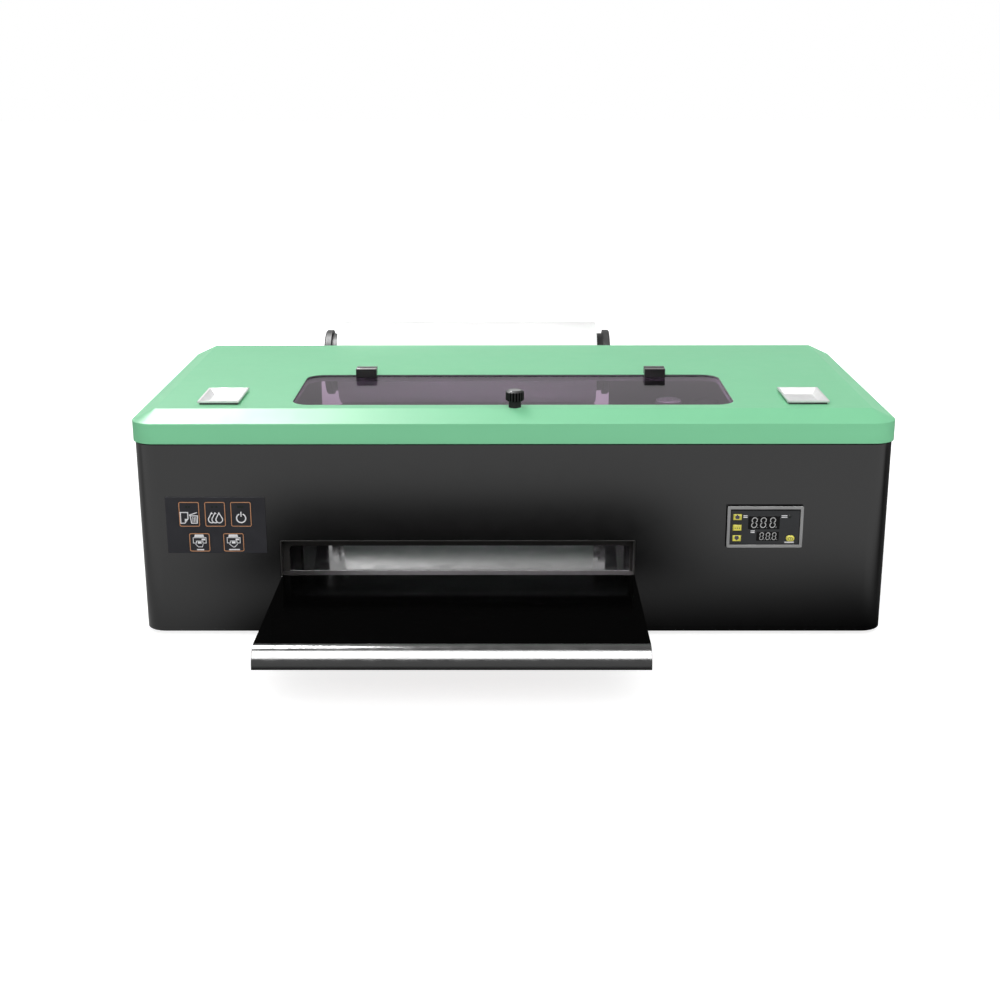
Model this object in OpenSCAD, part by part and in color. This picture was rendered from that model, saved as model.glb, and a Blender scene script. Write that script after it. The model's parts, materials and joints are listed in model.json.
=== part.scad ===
// Desktop roll-fed film printer: a black sheet-steel case under a green hinged hood with
// a tinted window lid, a heated film tray in front and a film roll on a spindle behind.
// Millimetres. X is the width, Y runs from front to back, Z is up from the floor.
// Depths named ..._y are counted from the hood's front face, heights named ..._z from the
// case's underside, unless their comment says otherwise.

/* [Hood] */
// Width of the hood, the widest piece
hood_w = 790; // [700:5:900]
// Depth of the hood from its front face to its back edge
hood_d = 371; // [350:1:400]
// Height of the hood's upright skirt
skirt_h = 21.2; // [15:0.1:30]
// Height of the sloping edge above the skirt
chamfer_h = 10.9; // [8:0.1:14]
// Width of the sloping edge, seen from above
chamfer_w = 23.7; // [18:0.1:25]
// Radius of the hood's front corners, seen from above
hood_corner_r = 25.7; // [25.2:0.1:40]
// Thickness of the sheet steel
sheet = 1.5; // [1:0.1:2]

/* [Case] */
// Height of the case from its underside to the hood's lower edge
case_h = 205.6; // [200:0.1:240]
// How far the case stands back under the hood at the front and sides
case_inset = 2; // [1.8:0.1:4]
// How far the case walls reach up inside the hood
case_lap = 8; // [4:1:12]
// Thickness of the base plate
base_t = 2; // [1.5:0.5:4]
// Height of the rubber feet
foot_h = 5; // [4:0.5:8]
// Radius of the rubber feet
foot_r = 14; // [10:1:20]
// Distance of a foot's centre from the hood's front, back and side faces
foot_inset = 48; // [44:1:70]
// Radius of the feet's screws
foot_screw_r = 2; // [1.5:0.5:3]

/* [Film path] */
// X of the middle of the film path
path_x = -57.5; // [-65:0.5:-50]
// Width of the film
film_w = 330; // [300:1:336]
// Thickness of the film, with room for its wave
film_t = 0.4; // [0.3:0.1:0.6]
// Height of the slot's sill and of the tray's top
film_z = 63; // [60:0.5:66]
// Radius of the wound film
roll_r = 53.3; // [50:0.1:58]
// Outer radius of the roll's paper core
core_r = 44; // [42:0.5:46]
// Inner radius of the roll's paper core
core_bore_r = 38.1; // [37:0.1:39]
// Depth of the roll's axis
roll_y = 435; // [432:1:450]
// Height of the roll's axis
roll_z = 203; // [200:1:206]
// Radius of the flange discs beside the roll
disc_r = 42.4; // [41:0.1:46]
// Thickness of the flange discs
disc_t = 8.5; // [6:0.5:10]
// Gap between a flange disc and the roll's end
collar_gap = 9; // [4:1:11]
// Length of a flange's plug inside the core
plug_len = 26; // [15:1:40]
// Radius of the spindle
spindle_r = 8; // [6:0.5:10]

/* [Slot] */
// Width of the cut-out in the case front
slot_w = 372.5; // [368:0.5:380]
// Height of the cut-out above the sill
slot_h = 38.4; // [34:0.1:42]
// Depth of the bezel's recess
bezel_depth = 12.4; // [10:0.1:16]
// Wall of the bezel
bezel_wall = 1.5; // [1:0.1:2]
// Width of the bezel's mouth
mouth_w = 359.6; // [350:0.1:362]
// Height of the bezel's mouth
mouth_h = 28.4; // [24:0.1:30]
// Radius of the mouth's upper corners
mouth_r = 4; // [2:0.5:8]

/* [Tray] */
// Gap between the heated tray and each side of the slot
tray_gap = 1; // [0.5:0.1:3]
// Length of the tray's flat in front of the hood's face
tray_len = 190; // [160:1:220]
// Thickness of the tray plate
tray_t = 3; // [2:0.5:4]
// Outer radius of the tray's rolled nose
nose_r = 18; // [14:0.5:22]
// Thickness of the nose
nose_t = 2; // [1.5:0.5:3]
// Thickness of the heater mat
mat_t = 1.5; // [1:0.5:3]
// Space left around the heater mat, inside the tray's edges
mat_inset = 24; // [20:1:40]
// Distance between the two tray brackets
bracket_span = 280; // [200:5:300]
// Thickness of the tray brackets
bracket_t = 3; // [2:0.5:4]
// Radius of the tray's screws
tray_screw_r = 2.5; // [2:0.5:3]

/* [Window lid] */
// Width of the window opening in the hood
window_w = 465; // [420:1:500]
// Depth of the window's front edge
window_y = 39.7; // [39.2:0.1:44]
// Size of the window opening from front to back
window_d = 153.4; // [140:0.1:165]
// Radius of the window's corners
window_r = 20; // [10:1:30]
// Thickness of the acrylic lid
lid_t = 3; // [2:0.5:4]
// Gap around the lid
lid_gap = 0.6; // [0.5:0.1:1]
// How far the lid lies below the hood's top
lid_drop = 1.5; // [1:0.1:2]
// Height of the flange around the window
ring_h = 9; // [8:0.5:10]
// X of the left lid hinge
lid_hinge_left = -166.3; // [-180:0.1:-150]
// X of the right lid hinge
lid_hinge_right = 161.3; // [150:0.1:180]
// Width of a lid hinge block
block_w = 23; // [20:0.5:26]
// Size of a lid hinge block from front to back
block_d = 17.4; // [17:0.1:20]
// Height of a lid hinge block above the hood
block_h = 8.1; // [7.5:0.1:8.5]
// Radius of the lid hinge pin
lid_pin_r = 1.5; // [1:0.1:2]

/* [Latch] */
// X of the latch knob
knob_x = 1.8; // [-5:0.1:5]
// Gap between the knob's head and the lid's edge
knob_gap = 0.75; // [0.6:0.05:1.5]
// Radius of the knob's head
knob_r = 9.65; // [8:0.05:10.5]
// Height of the knob's head
knob_h = 10.6; // [8:0.1:14]
// Radius of the knob's stem
stem_r = 6.45; // [5:0.05:7]
// Height of the knob's stem
stem_h = 7.2; // [5:0.1:10]
// Number of flutes around the knob
flutes = 18; // [12:1:24]
// Radius of the latch shaft through the hood
latch_shaft_r = 3; // [2:0.1:4]
// Length of the pawl from the latch's axis
pawl_len = 17; // [15:0.5:18]
// Width of the pawl
pawl_w = 8; // [7:0.5:10]

/* [Pulls] */
// Distance of each flush pull's middle from the hood's side
pull_inset = 87; // [75:1:105]
// Depth of the pulls' front edge
pull_y = 39.5; // [36:0.5:45]
// Width of a pull
pull_w = 43.3; // [38:0.1:50]
// Size of a pull from front to back
pull_d = 66; // [55:1:75]
// Height of a pull's rim above the hood
pull_h = 4.2; // [3.4:0.1:5]
// Thickness of a pull's rim
pull_rim_t = 2; // [1.5:0.1:2.4]
// Depth of a pull's cup below the rim
pull_depth = 6.2; // [5.5:0.1:8]
// Width of the flat rim
pull_lip = 2; // [1.5:0.1:3]

/* [Key panel] */
// Share of the room beside the key panel that lies on its left
keys_share = 0.7047; // [0.5:0.0001:0.9]
// Height of the key panel's middle
keys_z = 118.2; // [105:0.1:125]
// Width of the key panel
keys_w = 103.8; // [100:0.1:110]
// Height of the key panel
keys_h = 60.9; // [58:0.1:66]
// Thickness of the key panel's overlay
overlay_t = 0.8; // [0.5:0.1:1]
// Travel of a key
key_travel = 0.8; // [0.5:0.1:1]
// Gap around a key
key_gap = 0.3; // [0.2:0.05:0.4]

/* [Temperature controller] */
// Distance of the controller's middle from the hood's right side
thermo_inset = 133; // [115:0.5:145]
// Height of the controller's middle
thermo_z = 116.3; // [105:0.1:125]
// Width of the controller's bezel
thermo_w = 78.7; // [76:0.1:84]
// Height of the controller's bezel
thermo_h = 44.7; // [44:0.1:50]
// How far the bezel stands out of the case
thermo_proud = 2.5; // [2:0.5:4]
// Depth of the controller's body behind the case front
thermo_depth = 58; // [40:1:70]
// Width of the bezel's frame
thermo_rim = 3; // [2:0.1:3.5]
// Travel of the controller's keys
thermo_travel = 0.5; // [0.4:0.1:0.6]

/* [Feed] */
// Tilt of the platen, rising towards the back, in degrees
platen_tilt = 3.2; // [2:0.1:4]
// Thickness of the platen
platen_t = 2; // [1.5:0.5:3]
// Depth of the feed rollers' axis
nip_y = 135; // [132:1:140]
// Radius of the feed roller
feed_r = 8; // [7:0.5:9]
// Radius of the feed roller's shaft
feed_shaft_r = 4; // [3:0.5:5]
// Radius of the pinch rollers
pinch_r = 6; // [5:0.5:6.5]
// Radius of the pinch rollers' shaft
pinch_shaft_r = 2; // [1.5:0.5:2.5]
// Number of rubber sleeves on the feed shaft
sleeves = 6; // [4:1:8]
// Thickness of the side frames
frame_t = 3; // [2:0.5:4]
// Radius of the pulley on the feed shaft
feed_pulley_r = 16; // [12:1:18]
// Radius of the feed motor's pulley
motor_pulley_r = 8; // [6:1:9]
// Thickness of the drive belts
belt_t = 1.2; // [1:0.1:1.5]
// Width of the drive belts
belt_w = 6; // [5:0.5:7]

/* [Carriage] */
// Distance of the parked carriage's middle from the hood's right side
park_inset = 160; // [150:1:170]
// Depth of the guide shaft
guide_y = 140; // [138:1:142]
// Radius of the guide shaft
guide_r = 5; // [4:0.5:6]
// Height of the guide shaft
guide_z = 148; // [146:1:152]
// Width of the carriage
carriage_w = 76; // [60:1:80]
// Gap between the print head and the platen
head_gap = 2; // [1.5:0.5:3]
// Distance of the rail's left end from the hood's left side
rail_left_inset = 95; // [90:1:105]
// Distance of the rail's right end from the hood's right side
rail_right_inset = 75; // [65:1:85]
// Radius of the carriage belt's pulleys
belt_pulley_r = 8; // [7:0.5:9]
// Radius of the motor shafts
motor_shaft_r = 2.5; // [2:0.1:3]

/* [Ink] */
// Distance of the white-ink tank's middle, the first of the row, from the right side frame
ink_from_frame = 52.5; // [48:0.5:56]
// Distance of the last tank's middle from the hood's right side
ink_inset = 37; // [34:1:40]
// Gap between ink tanks
tank_gap = 4; // [2:0.5:6]
// Size of an ink tank from front to back
tank_d = 56; // [50:1:60]
// Height of the waste-ink tank
waste_h = 70; // [50:1:75]
// Gap between the ink tanks and the waste tank
waste_gap = 11; // [8:0.5:20]
// Number of ink tanks
ink_tanks_n = 5; // [3:1:5]
// Depth of the ink tanks' middle
ink_y = 223; // [220:1:228]
// Height of the white ink's cap above the case's underside
white_cap_z = 200; // [196:1:202]
// Radius of the ink caps
cap_r = 14.5; // [12:0.5:16]

/* [Electronics] */
// Gap between the power supply and the left side frame
supply_gap = 37.5; // [10:0.5:40]
// Size of the power supply from front to back
supply_d = 125; // [100:1:130]
// Height of the power supply
supply_h = 50; // [40:1:50]
// Width of the main board
board_w = 180; // [150:1:200]
// Size of the main board from front to back
board_d = 120; // [100:1:130]

/* [Back] */
// Distance of the exhaust fan's middle from the hood's left side
fan_inset = 75; // [65:1:85]
// Height of the exhaust fan
fan_z = 138; // [130:1:145]
// Size of the exhaust fan
fan_size = 80; // [60:10:80]
// Distance of the mains inlet's middle from the hood's right side
inlet_inset = 65; // [50:1:80]
// Distance between the data socket and the mains inlet
socket_pitch = 60; // [50:1:70]
// Height of the mains inlet
inlet_z = 50; // [40:1:60]
// Radius of the hood hinges' barrels
barrel_r = 4; // [3.5:0.1:4.2]
// Radius of the hood hinges' pins
hinge_pin_r = 2; // [1.5:0.1:2.2]
// Distance of each hood hinge's middle from the hood's side
hood_hinge_inset = 95; // [85:1:115]
// Width of a hood hinge
hood_hinge_w = 60; // [40:2:80]

/* [Fits] */
// Radial clearance of a shaft in its bore
running = 0.05; // [0.03:0.01:0.09]
// Clearance between pieces that pass or sit beside each other
clear = 0.3; // [0.2:0.05:0.4]

/* [Hidden] */
$fn = 48;

// Driving heights above the floor
skirt_z = foot_h + case_h;
chamfer_z = skirt_z + skirt_h;
top_z = chamfer_z + chamfer_h;
sill_z = foot_h + film_z;
deck_z = foot_h + base_t;
// Y of the hood's front face: the part's origin is the middle of its box
tray_reach = tray_len + nose_r;
front_y = (tray_reach - roll_y - roll_r) / 2;

case_w = hood_w - 2 * case_inset;
panel_y = hood_d - sheet;
pull_x = hood_w / 2 - pull_inset;
thermo_x = hood_w / 2 - thermo_inset;
park_x = hood_w / 2 - park_inset;
rail_left = rail_left_inset - hood_w / 2;
rail_right = hood_w / 2 - rail_right_inset;
fan_x = fan_inset - hood_w / 2;
inlet_x = hood_w / 2 - inlet_inset;
hood_hinge_x = hood_w / 2 - hood_hinge_inset;
case_corner_r = hood_corner_r - case_inset;

// ---------- shared shapes ----------

// Moves a piece from depths counted from the hood's front to the part's own frame
module from_front() translate([0, front_y, 0]) children();

// Rounded rectangle about the origin
module rounded(w, d, r) {
    square([w - 2 * r, d], center = true);
    square([w, d - 2 * r], center = true);
    for (x = [-1, 1], y = [-1, 1]) translate([x * (w / 2 - r), y * (d / 2 - r)]) circle(r);
}

// Outline seen from above with rounded front corners and square back ones
module plan(w, front, back, r) {
    translate([-w / 2, front + r]) square([w, back - front - r]);
    translate([-w / 2 + r, front]) square([w - 2 * r, back - front]);
    for (x = [-1, 1]) translate([x * (w / 2 - r), front + r]) circle(r);
}

// Extrudes an outline drawn in depth and height along X, centred on X = 0
module along_x(len) rotate([90, 0, 90]) linear_extrude(len, center = true) children();

// Extrudes an outline drawn in X and height backwards from depth y
module facing(y, depth) translate([0, y + depth, 0]) rotate([90, 0, 0]) linear_extrude(depth) children();

// Round bar along X from x0 to x1
module bar(x0, x1, r) translate([x0, 0, 0]) rotate([0, 90, 0]) cylinder(r = r, h = x1 - x0);

// Box from one corner to the other
module span(a, b) translate(a) cube(b - a);

// Points of a ring sector, for curved strips, about (y, z)
function arc(y, z, r, a0, a1, n = 12) =
    [for (i = [0:n]) let (a = a0 + (a1 - a0) * i / n) [y + r * cos(a), z + r * sin(a)]];

// ---------- hood ----------

window_mid = window_y + window_d / 2;
pull_hole_inset = 3;
pull_hole_w = pull_w - 2 * pull_hole_inset;
pull_hole_d = pull_d - 2 * pull_hole_inset;
pull_mid = pull_y + pull_d / 2;
knob_y = window_y + lid_gap - knob_gap - knob_r;
hinge_y = hood_d + barrel_r + sheet / 2;
hinge_leaf_t = sheet;
hood_top_t = sheet * sqrt(chamfer_w * chamfer_w + chamfer_h * chamfer_h) / chamfer_w;
hinge_z = top_z - hood_top_t - hinge_leaf_t - barrel_r - 0.7;
lid_axis_y = window_y + window_d;
lid_axis_z = top_z + block_h / 2;
lid_top = top_z - lid_drop;
lid_bottom = lid_top - lid_t;
tab_x = window_w / 2 - 32;

// Solid of the hood's outer form, down to z = low
module hood_form(low) {
    r = hood_corner_r;
    translate([0, 0, low]) linear_extrude(chamfer_z - low) plan(hood_w, 0, hood_d, r);
    translate([0, 0, chamfer_z]) {
        along_x(hood_w - 2 * r)
            polygon([[0, 0], [hood_d, 0], [hood_d, chamfer_h], [chamfer_w, chamfer_h]]);
        facing(r, hood_d - r)
            polygon([[-hood_w / 2, 0], [hood_w / 2, 0],
                     [hood_w / 2 - chamfer_w, chamfer_h], [chamfer_w - hood_w / 2, chamfer_h]]);
        for (x = [-1, 1]) translate([x * (hood_w / 2 - r), r, 0])
            cylinder(r1 = r, r2 = r - chamfer_w, h = chamfer_h);
    }
}

module hood_shell() color("mediumaquamarine") from_front() {
    difference() {
        hood_form(skirt_z);
        intersection() {
            translate([0, 0, -hood_top_t]) hood_form(skirt_z - 5);
            translate([0, 0, skirt_z - 10]) linear_extrude(top_z - hood_top_t - skirt_z + 10)
                plan(hood_w - 2 * sheet, sheet, hood_d + 1, hood_corner_r - sheet);
        }
        translate([0, window_mid, top_z - 5]) linear_extrude(10)
            rounded(window_w, window_d, window_r);
        for (x = [-1, 1]) translate([x * pull_x, pull_mid, top_z])
            cube([pull_hole_w, pull_hole_d, 10], center = true);
        translate([knob_x, knob_y, top_z - 5]) cylinder(r = latch_shaft_r + running, h = 10);
    }
    // Flange around the window, with two tabs that the lid rests on
    difference() {
        translate([0, window_mid, top_z - ring_h]) linear_extrude(ring_h - hood_top_t)
            rounded(window_w + 2 * sheet, window_d + 2 * sheet, window_r + sheet);
        translate([0, window_mid, top_z - ring_h - 1]) linear_extrude(ring_h + 2)
            rounded(window_w, window_d, window_r);
    }
    for (x = [-1, 1]) translate([x * tab_x - 8, window_y - 0.5, lid_bottom - sheet])
        cube([16, 6, sheet]);
}

// Upper halves of the two hood hinges: a leaf under the hood's top and two outer knuckles
module hood_hinges() color("silver") from_front() for (x = [-1, 1]) translate([x * hood_hinge_x, 0, 0]) {
    third = hood_hinge_w / 3;
    leaf_z = top_z - hood_top_t - hinge_leaf_t;
    difference() {
        union() {
            span([-hood_hinge_w / 2, hood_d - 30, leaf_z],
                 [hood_hinge_w / 2, hinge_y, leaf_z + hinge_leaf_t]);
            for (s = [-1, 1]) translate([s * third, 0, 0]) {
                translate([0, hinge_y, hinge_z]) bar(-third / 2 + clear, third / 2 - clear, barrel_r);
                span([-third / 2 + clear, hinge_y - 1, hinge_z],
                     [third / 2 - clear, hinge_y + 1, leaf_z + 0.1]);
            }
        }
        translate([0, hinge_y, hinge_z]) bar(-hood_hinge_w, hood_hinge_w, hinge_pin_r + running);
    }
}

// White flush pulls: a rim above the hood and a cup through it
module pull_cups() color("white") from_front() for (x = [-1, 1]) translate([x * pull_x, pull_mid, 0]) {
    rim_top = top_z + pull_h;
    rim_low = rim_top - pull_rim_t;
    floor_z = rim_top - pull_depth;
    slant = 5;
    difference() {
        union() {
            translate([-pull_w / 2, -pull_d / 2, rim_low]) cube([pull_w, pull_d, pull_rim_t]);
            translate([-pull_hole_w / 2 + clear, -pull_hole_d / 2 + clear, floor_z - pull_rim_t])
                cube([pull_hole_w - 2 * clear, pull_hole_d - 2 * clear, rim_top - floor_z]);
        }
        // The cup's walls slope in on all four sides
        intersection() {
            translate([0, 0, floor_z]) along_x(pull_w)
                polygon([[-pull_d / 2 + pull_lip + slant, 0], [pull_d / 2 - pull_lip - slant, 0],
                         [pull_d / 2 - pull_lip, pull_depth + 0.01],
                         [pull_lip - pull_d / 2, pull_depth + 0.01]]);
            translate([0, 0, floor_z]) facing(-pull_d / 2, pull_d)
                polygon([[-pull_w / 2 + pull_lip + slant, 0], [pull_w / 2 - pull_lip - slant, 0],
                         [pull_w / 2 - pull_lip, pull_depth + 0.01],
                         [pull_lip - pull_w / 2, pull_depth + 0.01]]);
        }
    }
}

// Dark gaskets between the pulls' rims and the hood
module pull_gaskets() color("dimgray") from_front() for (x = [-1, 1]) translate([x * pull_x, pull_mid, 0]) {
    edge = 1.8;
    difference() {
        translate([edge - pull_w / 2, edge - pull_d / 2, top_z])
            cube([pull_w - 2 * edge, pull_d - 2 * edge, pull_h - pull_rim_t]);
        translate([-pull_hole_w / 2, -pull_hole_d / 2, top_z - 1]) cube([pull_hole_w, pull_hole_d, 10]);
    }
}

// ---------- window lid ----------

knuckle_r = block_h / 2;
half_block = block_d / 2;
pin_side = 7;

// Fixed halves of the lid hinges, with the middle knuckle and the pin
module lid_hinge_bases() color("black") from_front()
for (x = [lid_hinge_left, lid_hinge_right]) translate([x, lid_axis_y, lid_axis_z]) {
    mid_w = block_w - 2 * pin_side;
    span([-block_w / 2, knuckle_r + 1.15, -knuckle_r], [block_w / 2, half_block, knuckle_r - 0.15]);
    difference() {
        union() {
            bar(-mid_w / 2 + clear, mid_w / 2 - clear, knuckle_r - 0.02);
            span([-mid_w / 2 + clear, 0, -knuckle_r], [mid_w / 2 - clear, knuckle_r + 1.2, 0]);
        }
        bar(-block_w, block_w, lid_pin_r);
    }
    bar(-block_w / 2, block_w / 2, lid_pin_r);
}

// Moving halves of the lid hinges, clamped on the acrylic
module lid_hinge_clamps() color("black") from_front()
for (x = [lid_hinge_left, lid_hinge_right]) translate([x, lid_axis_y, lid_axis_z]) {
    foot = lid_top - lid_axis_z;
    difference() {
        union() {
            span([-block_w / 2, -half_block, foot], [block_w / 2, -knuckle_r - 0.3, knuckle_r - 0.02]);
            for (s = [-1, 1]) translate([s * (block_w - pin_side) / 2, 0, 0]) {
                bar(-pin_side / 2, pin_side / 2, knuckle_r - 0.02);
                span([-pin_side / 2, -knuckle_r - 0.4, 0.5 - knuckle_r], [pin_side / 2, 0, 0]);
            }
        }
        bar(-block_w, block_w, lid_pin_r + running);
    }
}

// Tinted acrylic lid
module window_lid() color([0.35, 0.25, 0.36, 0.7]) from_front()
    translate([0, window_mid, lid_bottom]) linear_extrude(lid_t)
        rounded(window_w - 2 * lid_gap, window_d - 2 * lid_gap, window_r - lid_gap);

// Catch under the lid's front edge, which the pawl turns over
pawl_t = 2.5;
pawl_top = top_z - ring_h - 1;
module lid_catch() color("black") from_front() translate([knob_x, 0, 0]) {
    leg_y = knob_y + pawl_len + 3.6;
    lip_y = knob_y + knob_r + 2.4;
    lip_z = pawl_top - pawl_t - 0.5 - 3;
    span([-8, leg_y, lip_z], [8, leg_y + 2, lid_bottom]);
    span([-8, lip_y, lip_z], [8, leg_y, lip_z + 3]);
    span([-8, leg_y, lid_bottom - 2], [8, leg_y + 14, lid_bottom]);
}

// Knurled knob on its stem, with the shaft and the pawl below the hood
module latch_knob() color("black") from_front() translate([knob_x, knob_y, 0]) {
    flute_r = 1.1;
    cap_in = 2.5;
    translate([0, 0, top_z]) cylinder(r = stem_r, h = stem_h);
    translate([0, 0, top_z + stem_h]) difference() {
        union() {
            translate([0, 0, 1]) cylinder(r = knob_r, h = knob_h - 2.6);
            cylinder(r1 = knob_r - 1, r2 = knob_r, h = 1);
            translate([0, 0, knob_h - 1.6]) cylinder(r1 = knob_r, r2 = knob_r - cap_in, h = 1.6);
        }
        for (i = [0:flutes - 1]) rotate(i * 360 / flutes) translate([knob_r + 0.3, 0, -1])
            cylinder(r = flute_r, h = knob_h + 2, $fn = 24);
    }
    translate([0, 0, pawl_top - pawl_t]) cylinder(r = latch_shaft_r, h = top_z - pawl_top + pawl_t);
    translate([-pawl_w / 2, -pawl_w / 2, pawl_top - pawl_t]) cube([pawl_w / 2 + pawl_len, pawl_w, pawl_t]);
}

// ---------- case ----------

rim_z = skirt_z + case_lap;
notch_x = -59.5;
notch_w = 363;
notch_z = foot_h + 120;
slot_x = path_x - 0.75;
keys_room = slot_x - slot_w / 2 + case_w / 2 - keys_w;
keys_x = keys_share * keys_room - case_w / 2 + keys_w / 2;
shell_clear = 0.2;

// Cut-out outlines in the case front, drawn in X and height
module slot_hole(grow) translate([slot_x - slot_w / 2 - grow, sill_z - bezel_wall - grow])
    square([slot_w + 2 * grow, slot_h + bezel_wall + 2 * grow]);
module thermo_hole(grow) translate([thermo_x, foot_h + thermo_z])
    square([thermo_w - 4 + 2 * grow, thermo_h - 8 + 2 * grow], center = true);

module case_shell() color([0.16, 0.16, 0.16]) from_front() difference() {
    translate([0, 0, foot_h]) linear_extrude(rim_z - foot_h)
        plan(case_w, case_inset, hood_d, case_corner_r);
    translate([0, 0, foot_h - 1]) linear_extrude(rim_z - foot_h + 2)
        plan(case_w - 2 * sheet, case_inset + sheet, hood_d + 1, case_corner_r - sheet);
    facing(-5, 20) slot_hole(0);
    facing(-5, 20) thermo_hole(0);
    facing(-5, 20) for (i = [0:4]) key_outline(i, key_gap);
    for (s = [-1, 1], z = bracket_screw_zs)
        translate([path_x + s * bracket_span / 2 + bracket_screw_x, 0, z])
            rotate([-90, 0, 0]) cylinder(r = tray_screw_r, h = 10);
    // Cooling slits low on both sides
    for (s = [-1, 1], i = [0:7]) translate([s * case_w / 2, 200 + i * 14, foot_h + 60])
        cube([10, 5, 50], center = true);
}

foot_xs = [foot_inset - hood_w / 2, hood_w / 2 - foot_inset];
foot_ys = [foot_inset, hood_d - foot_inset];

module base_plate() color("dimgray") from_front() difference() {
    translate([0, 0, foot_h]) linear_extrude(base_t)
        plan(case_w - 2 * sheet - 2 * shell_clear, case_inset + sheet + shell_clear,
             panel_y - shell_clear, case_corner_r - sheet - shell_clear);
    for (x = foot_xs, y = foot_ys) translate([x, y, 0]) cylinder(r = foot_screw_r + 0.05, h = 20);
}

// Rubber feet with the screws that hold them
module feet() color("black") from_front() for (x = foot_xs, y = foot_ys) translate([x, y, 0]) {
    difference() {
        union() {
            cylinder(r1 = foot_r - 1, r2 = foot_r, h = 1);
            translate([0, 0, 1]) cylinder(r = foot_r, h = foot_h - 1);
        }
        translate([0, 0, -1]) cylinder(r = foot_screw_r + 2.5, h = 3);
        cylinder(r = foot_screw_r, h = 20);
    }
    translate([0, 0, 2]) cylinder(r = foot_screw_r, h = deck_z - 2.3);
}

module back_panel() color([0.16, 0.16, 0.16]) from_front() difference() {
    half = case_w / 2 - sheet - shell_clear;
    upper = hood_w / 2 - chamfer_w - 4;
    top = hinge_z + barrel_r;
    facing(panel_y, sheet)
        polygon([[-half, foot_h], [half, foot_h], [half, rim_z + 10], [upper, top],
                 [notch_x + notch_w / 2, top], [notch_x + notch_w / 2, notch_z],
                 [notch_x - notch_w / 2, notch_z],
                 [notch_x - notch_w / 2, top], [-upper, top], [-half, rim_z + 10]]);
    // Fan grille: rings of slots
    translate([fan_x, panel_y - 5, foot_h + fan_z]) rotate([-90, 0, 0]) {
        for (r = [12:8:36]) difference() {
            cylinder(r = r + 2.5, h = 10);
            translate([0, 0, -1]) cylinder(r = r - 2.5, h = 12);
            for (a = [45, 135]) rotate(a) translate([-50, -2, -1]) cube([100, 4, 12]);
        }
    }
    facing(panel_y - 5, 10) translate([inlet_x, foot_h + inlet_z])
        square([inlet_w + 2 * shell_clear, inlet_h + 2 * shell_clear], center = true);
    facing(panel_y - 5, 10) translate([usb_x, foot_h + inlet_z]) square([12, 11], center = true);
}

// Lower halves of the hood hinges, with the middle knuckle and the pin
module hinge_leaves_at(x) translate([x, 0, 0]) {
    third = hood_hinge_w / 3;
    leaf_low = hinge_z - 45;
    span([-hood_hinge_w / 2, hood_d, leaf_low], [hood_hinge_w / 2, hood_d + sheet, hinge_z - barrel_r - 1]);
    difference() {
        union() {
            translate([0, hinge_y, hinge_z]) bar(-third / 2, third / 2, barrel_r);
            span([-third / 2, hood_d, hinge_z - barrel_r - 1.1], [third / 2, hood_d + sheet, hinge_z]);
        }
        translate([0, hinge_y, hinge_z]) bar(-third, third, hinge_pin_r);
    }
    translate([0, hinge_y, hinge_z]) bar(-hood_hinge_w / 2, hood_hinge_w / 2, hinge_pin_r);
}

module case_hinges() color("silver") from_front() for (x = [-1, 1]) hinge_leaves_at(x * hood_hinge_x);

// Recessed surround of the film slot
module slot_bezel() color([0.1, 0.1, 0.1]) from_front() difference() {
    end_y = case_inset + bezel_depth;
    facing(case_inset, bezel_depth + bezel_wall) slot_hole(-shell_clear);
    facing(case_inset - 1, bezel_depth + 1) translate([slot_x - slot_w / 2 + bezel_wall, sill_z])
        square([slot_w - 2 * bezel_wall, slot_h - bezel_wall]);
    facing(end_y - 1, 10) {
        translate([slot_x + 1.75 - mouth_w / 2, sill_z]) square([mouth_w, mouth_h - mouth_r]);
        translate([slot_x + 1.75 - mouth_w / 2 + mouth_r, sill_z]) square([mouth_w - 2 * mouth_r, mouth_h]);
        for (s = [-1, 1]) translate([slot_x + 1.75 + s * (mouth_w / 2 - mouth_r), sill_z + mouth_h - mouth_r])
            circle(mouth_r);
    }
}

// ---------- tray ----------

tray_back = case_inset - clear;
tray_w = slot_w - 2 * tray_gap;
bracket_low = foot_h + 16;
bracket_screw_zs = [foot_h + 24, foot_h + 44];
bracket_screw_x = 3;

module heater_tray() color([0.06, 0.06, 0.06]) from_front() translate([path_x, 0, 0]) {
    along_x(tray_w) polygon([[-tray_len, sill_z - tray_t], [tray_back, sill_z - tray_t],
                             [tray_back, sill_z], [-tray_len, sill_z]]);
    // Folded skirts under the plate's sides
    for (s = [-1, 1]) translate([s * (tray_w / 2 - 1), 0, 0]) along_x(2)
        polygon([[-tray_len, sill_z - 14], [tray_back, sill_z - 14],
                 [tray_back, sill_z - tray_t], [-tray_len, sill_z - tray_t]]);
}

module tray_nose() color("silver") from_front() translate([path_x, 0, 0]) along_x(tray_w) {
    mid_z = sill_z - nose_r;
    polygon(concat(arc(-tray_len, mid_z, nose_r, 90, 180, 24),
                   [[-tray_reach, mid_z - 1], [nose_t - tray_reach, mid_z - 1]],
                   arc(-tray_len, mid_z, nose_r - nose_t, 180, 90, 24)));
}

module heater_mat() color("orangered") from_front() translate([path_x, 0, 0])
    span([mat_inset - tray_w / 2, mat_inset - tray_len, sill_z - tray_t - mat_t],
         [tray_w / 2 - mat_inset, -mat_inset, sill_z - tray_t]);

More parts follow.
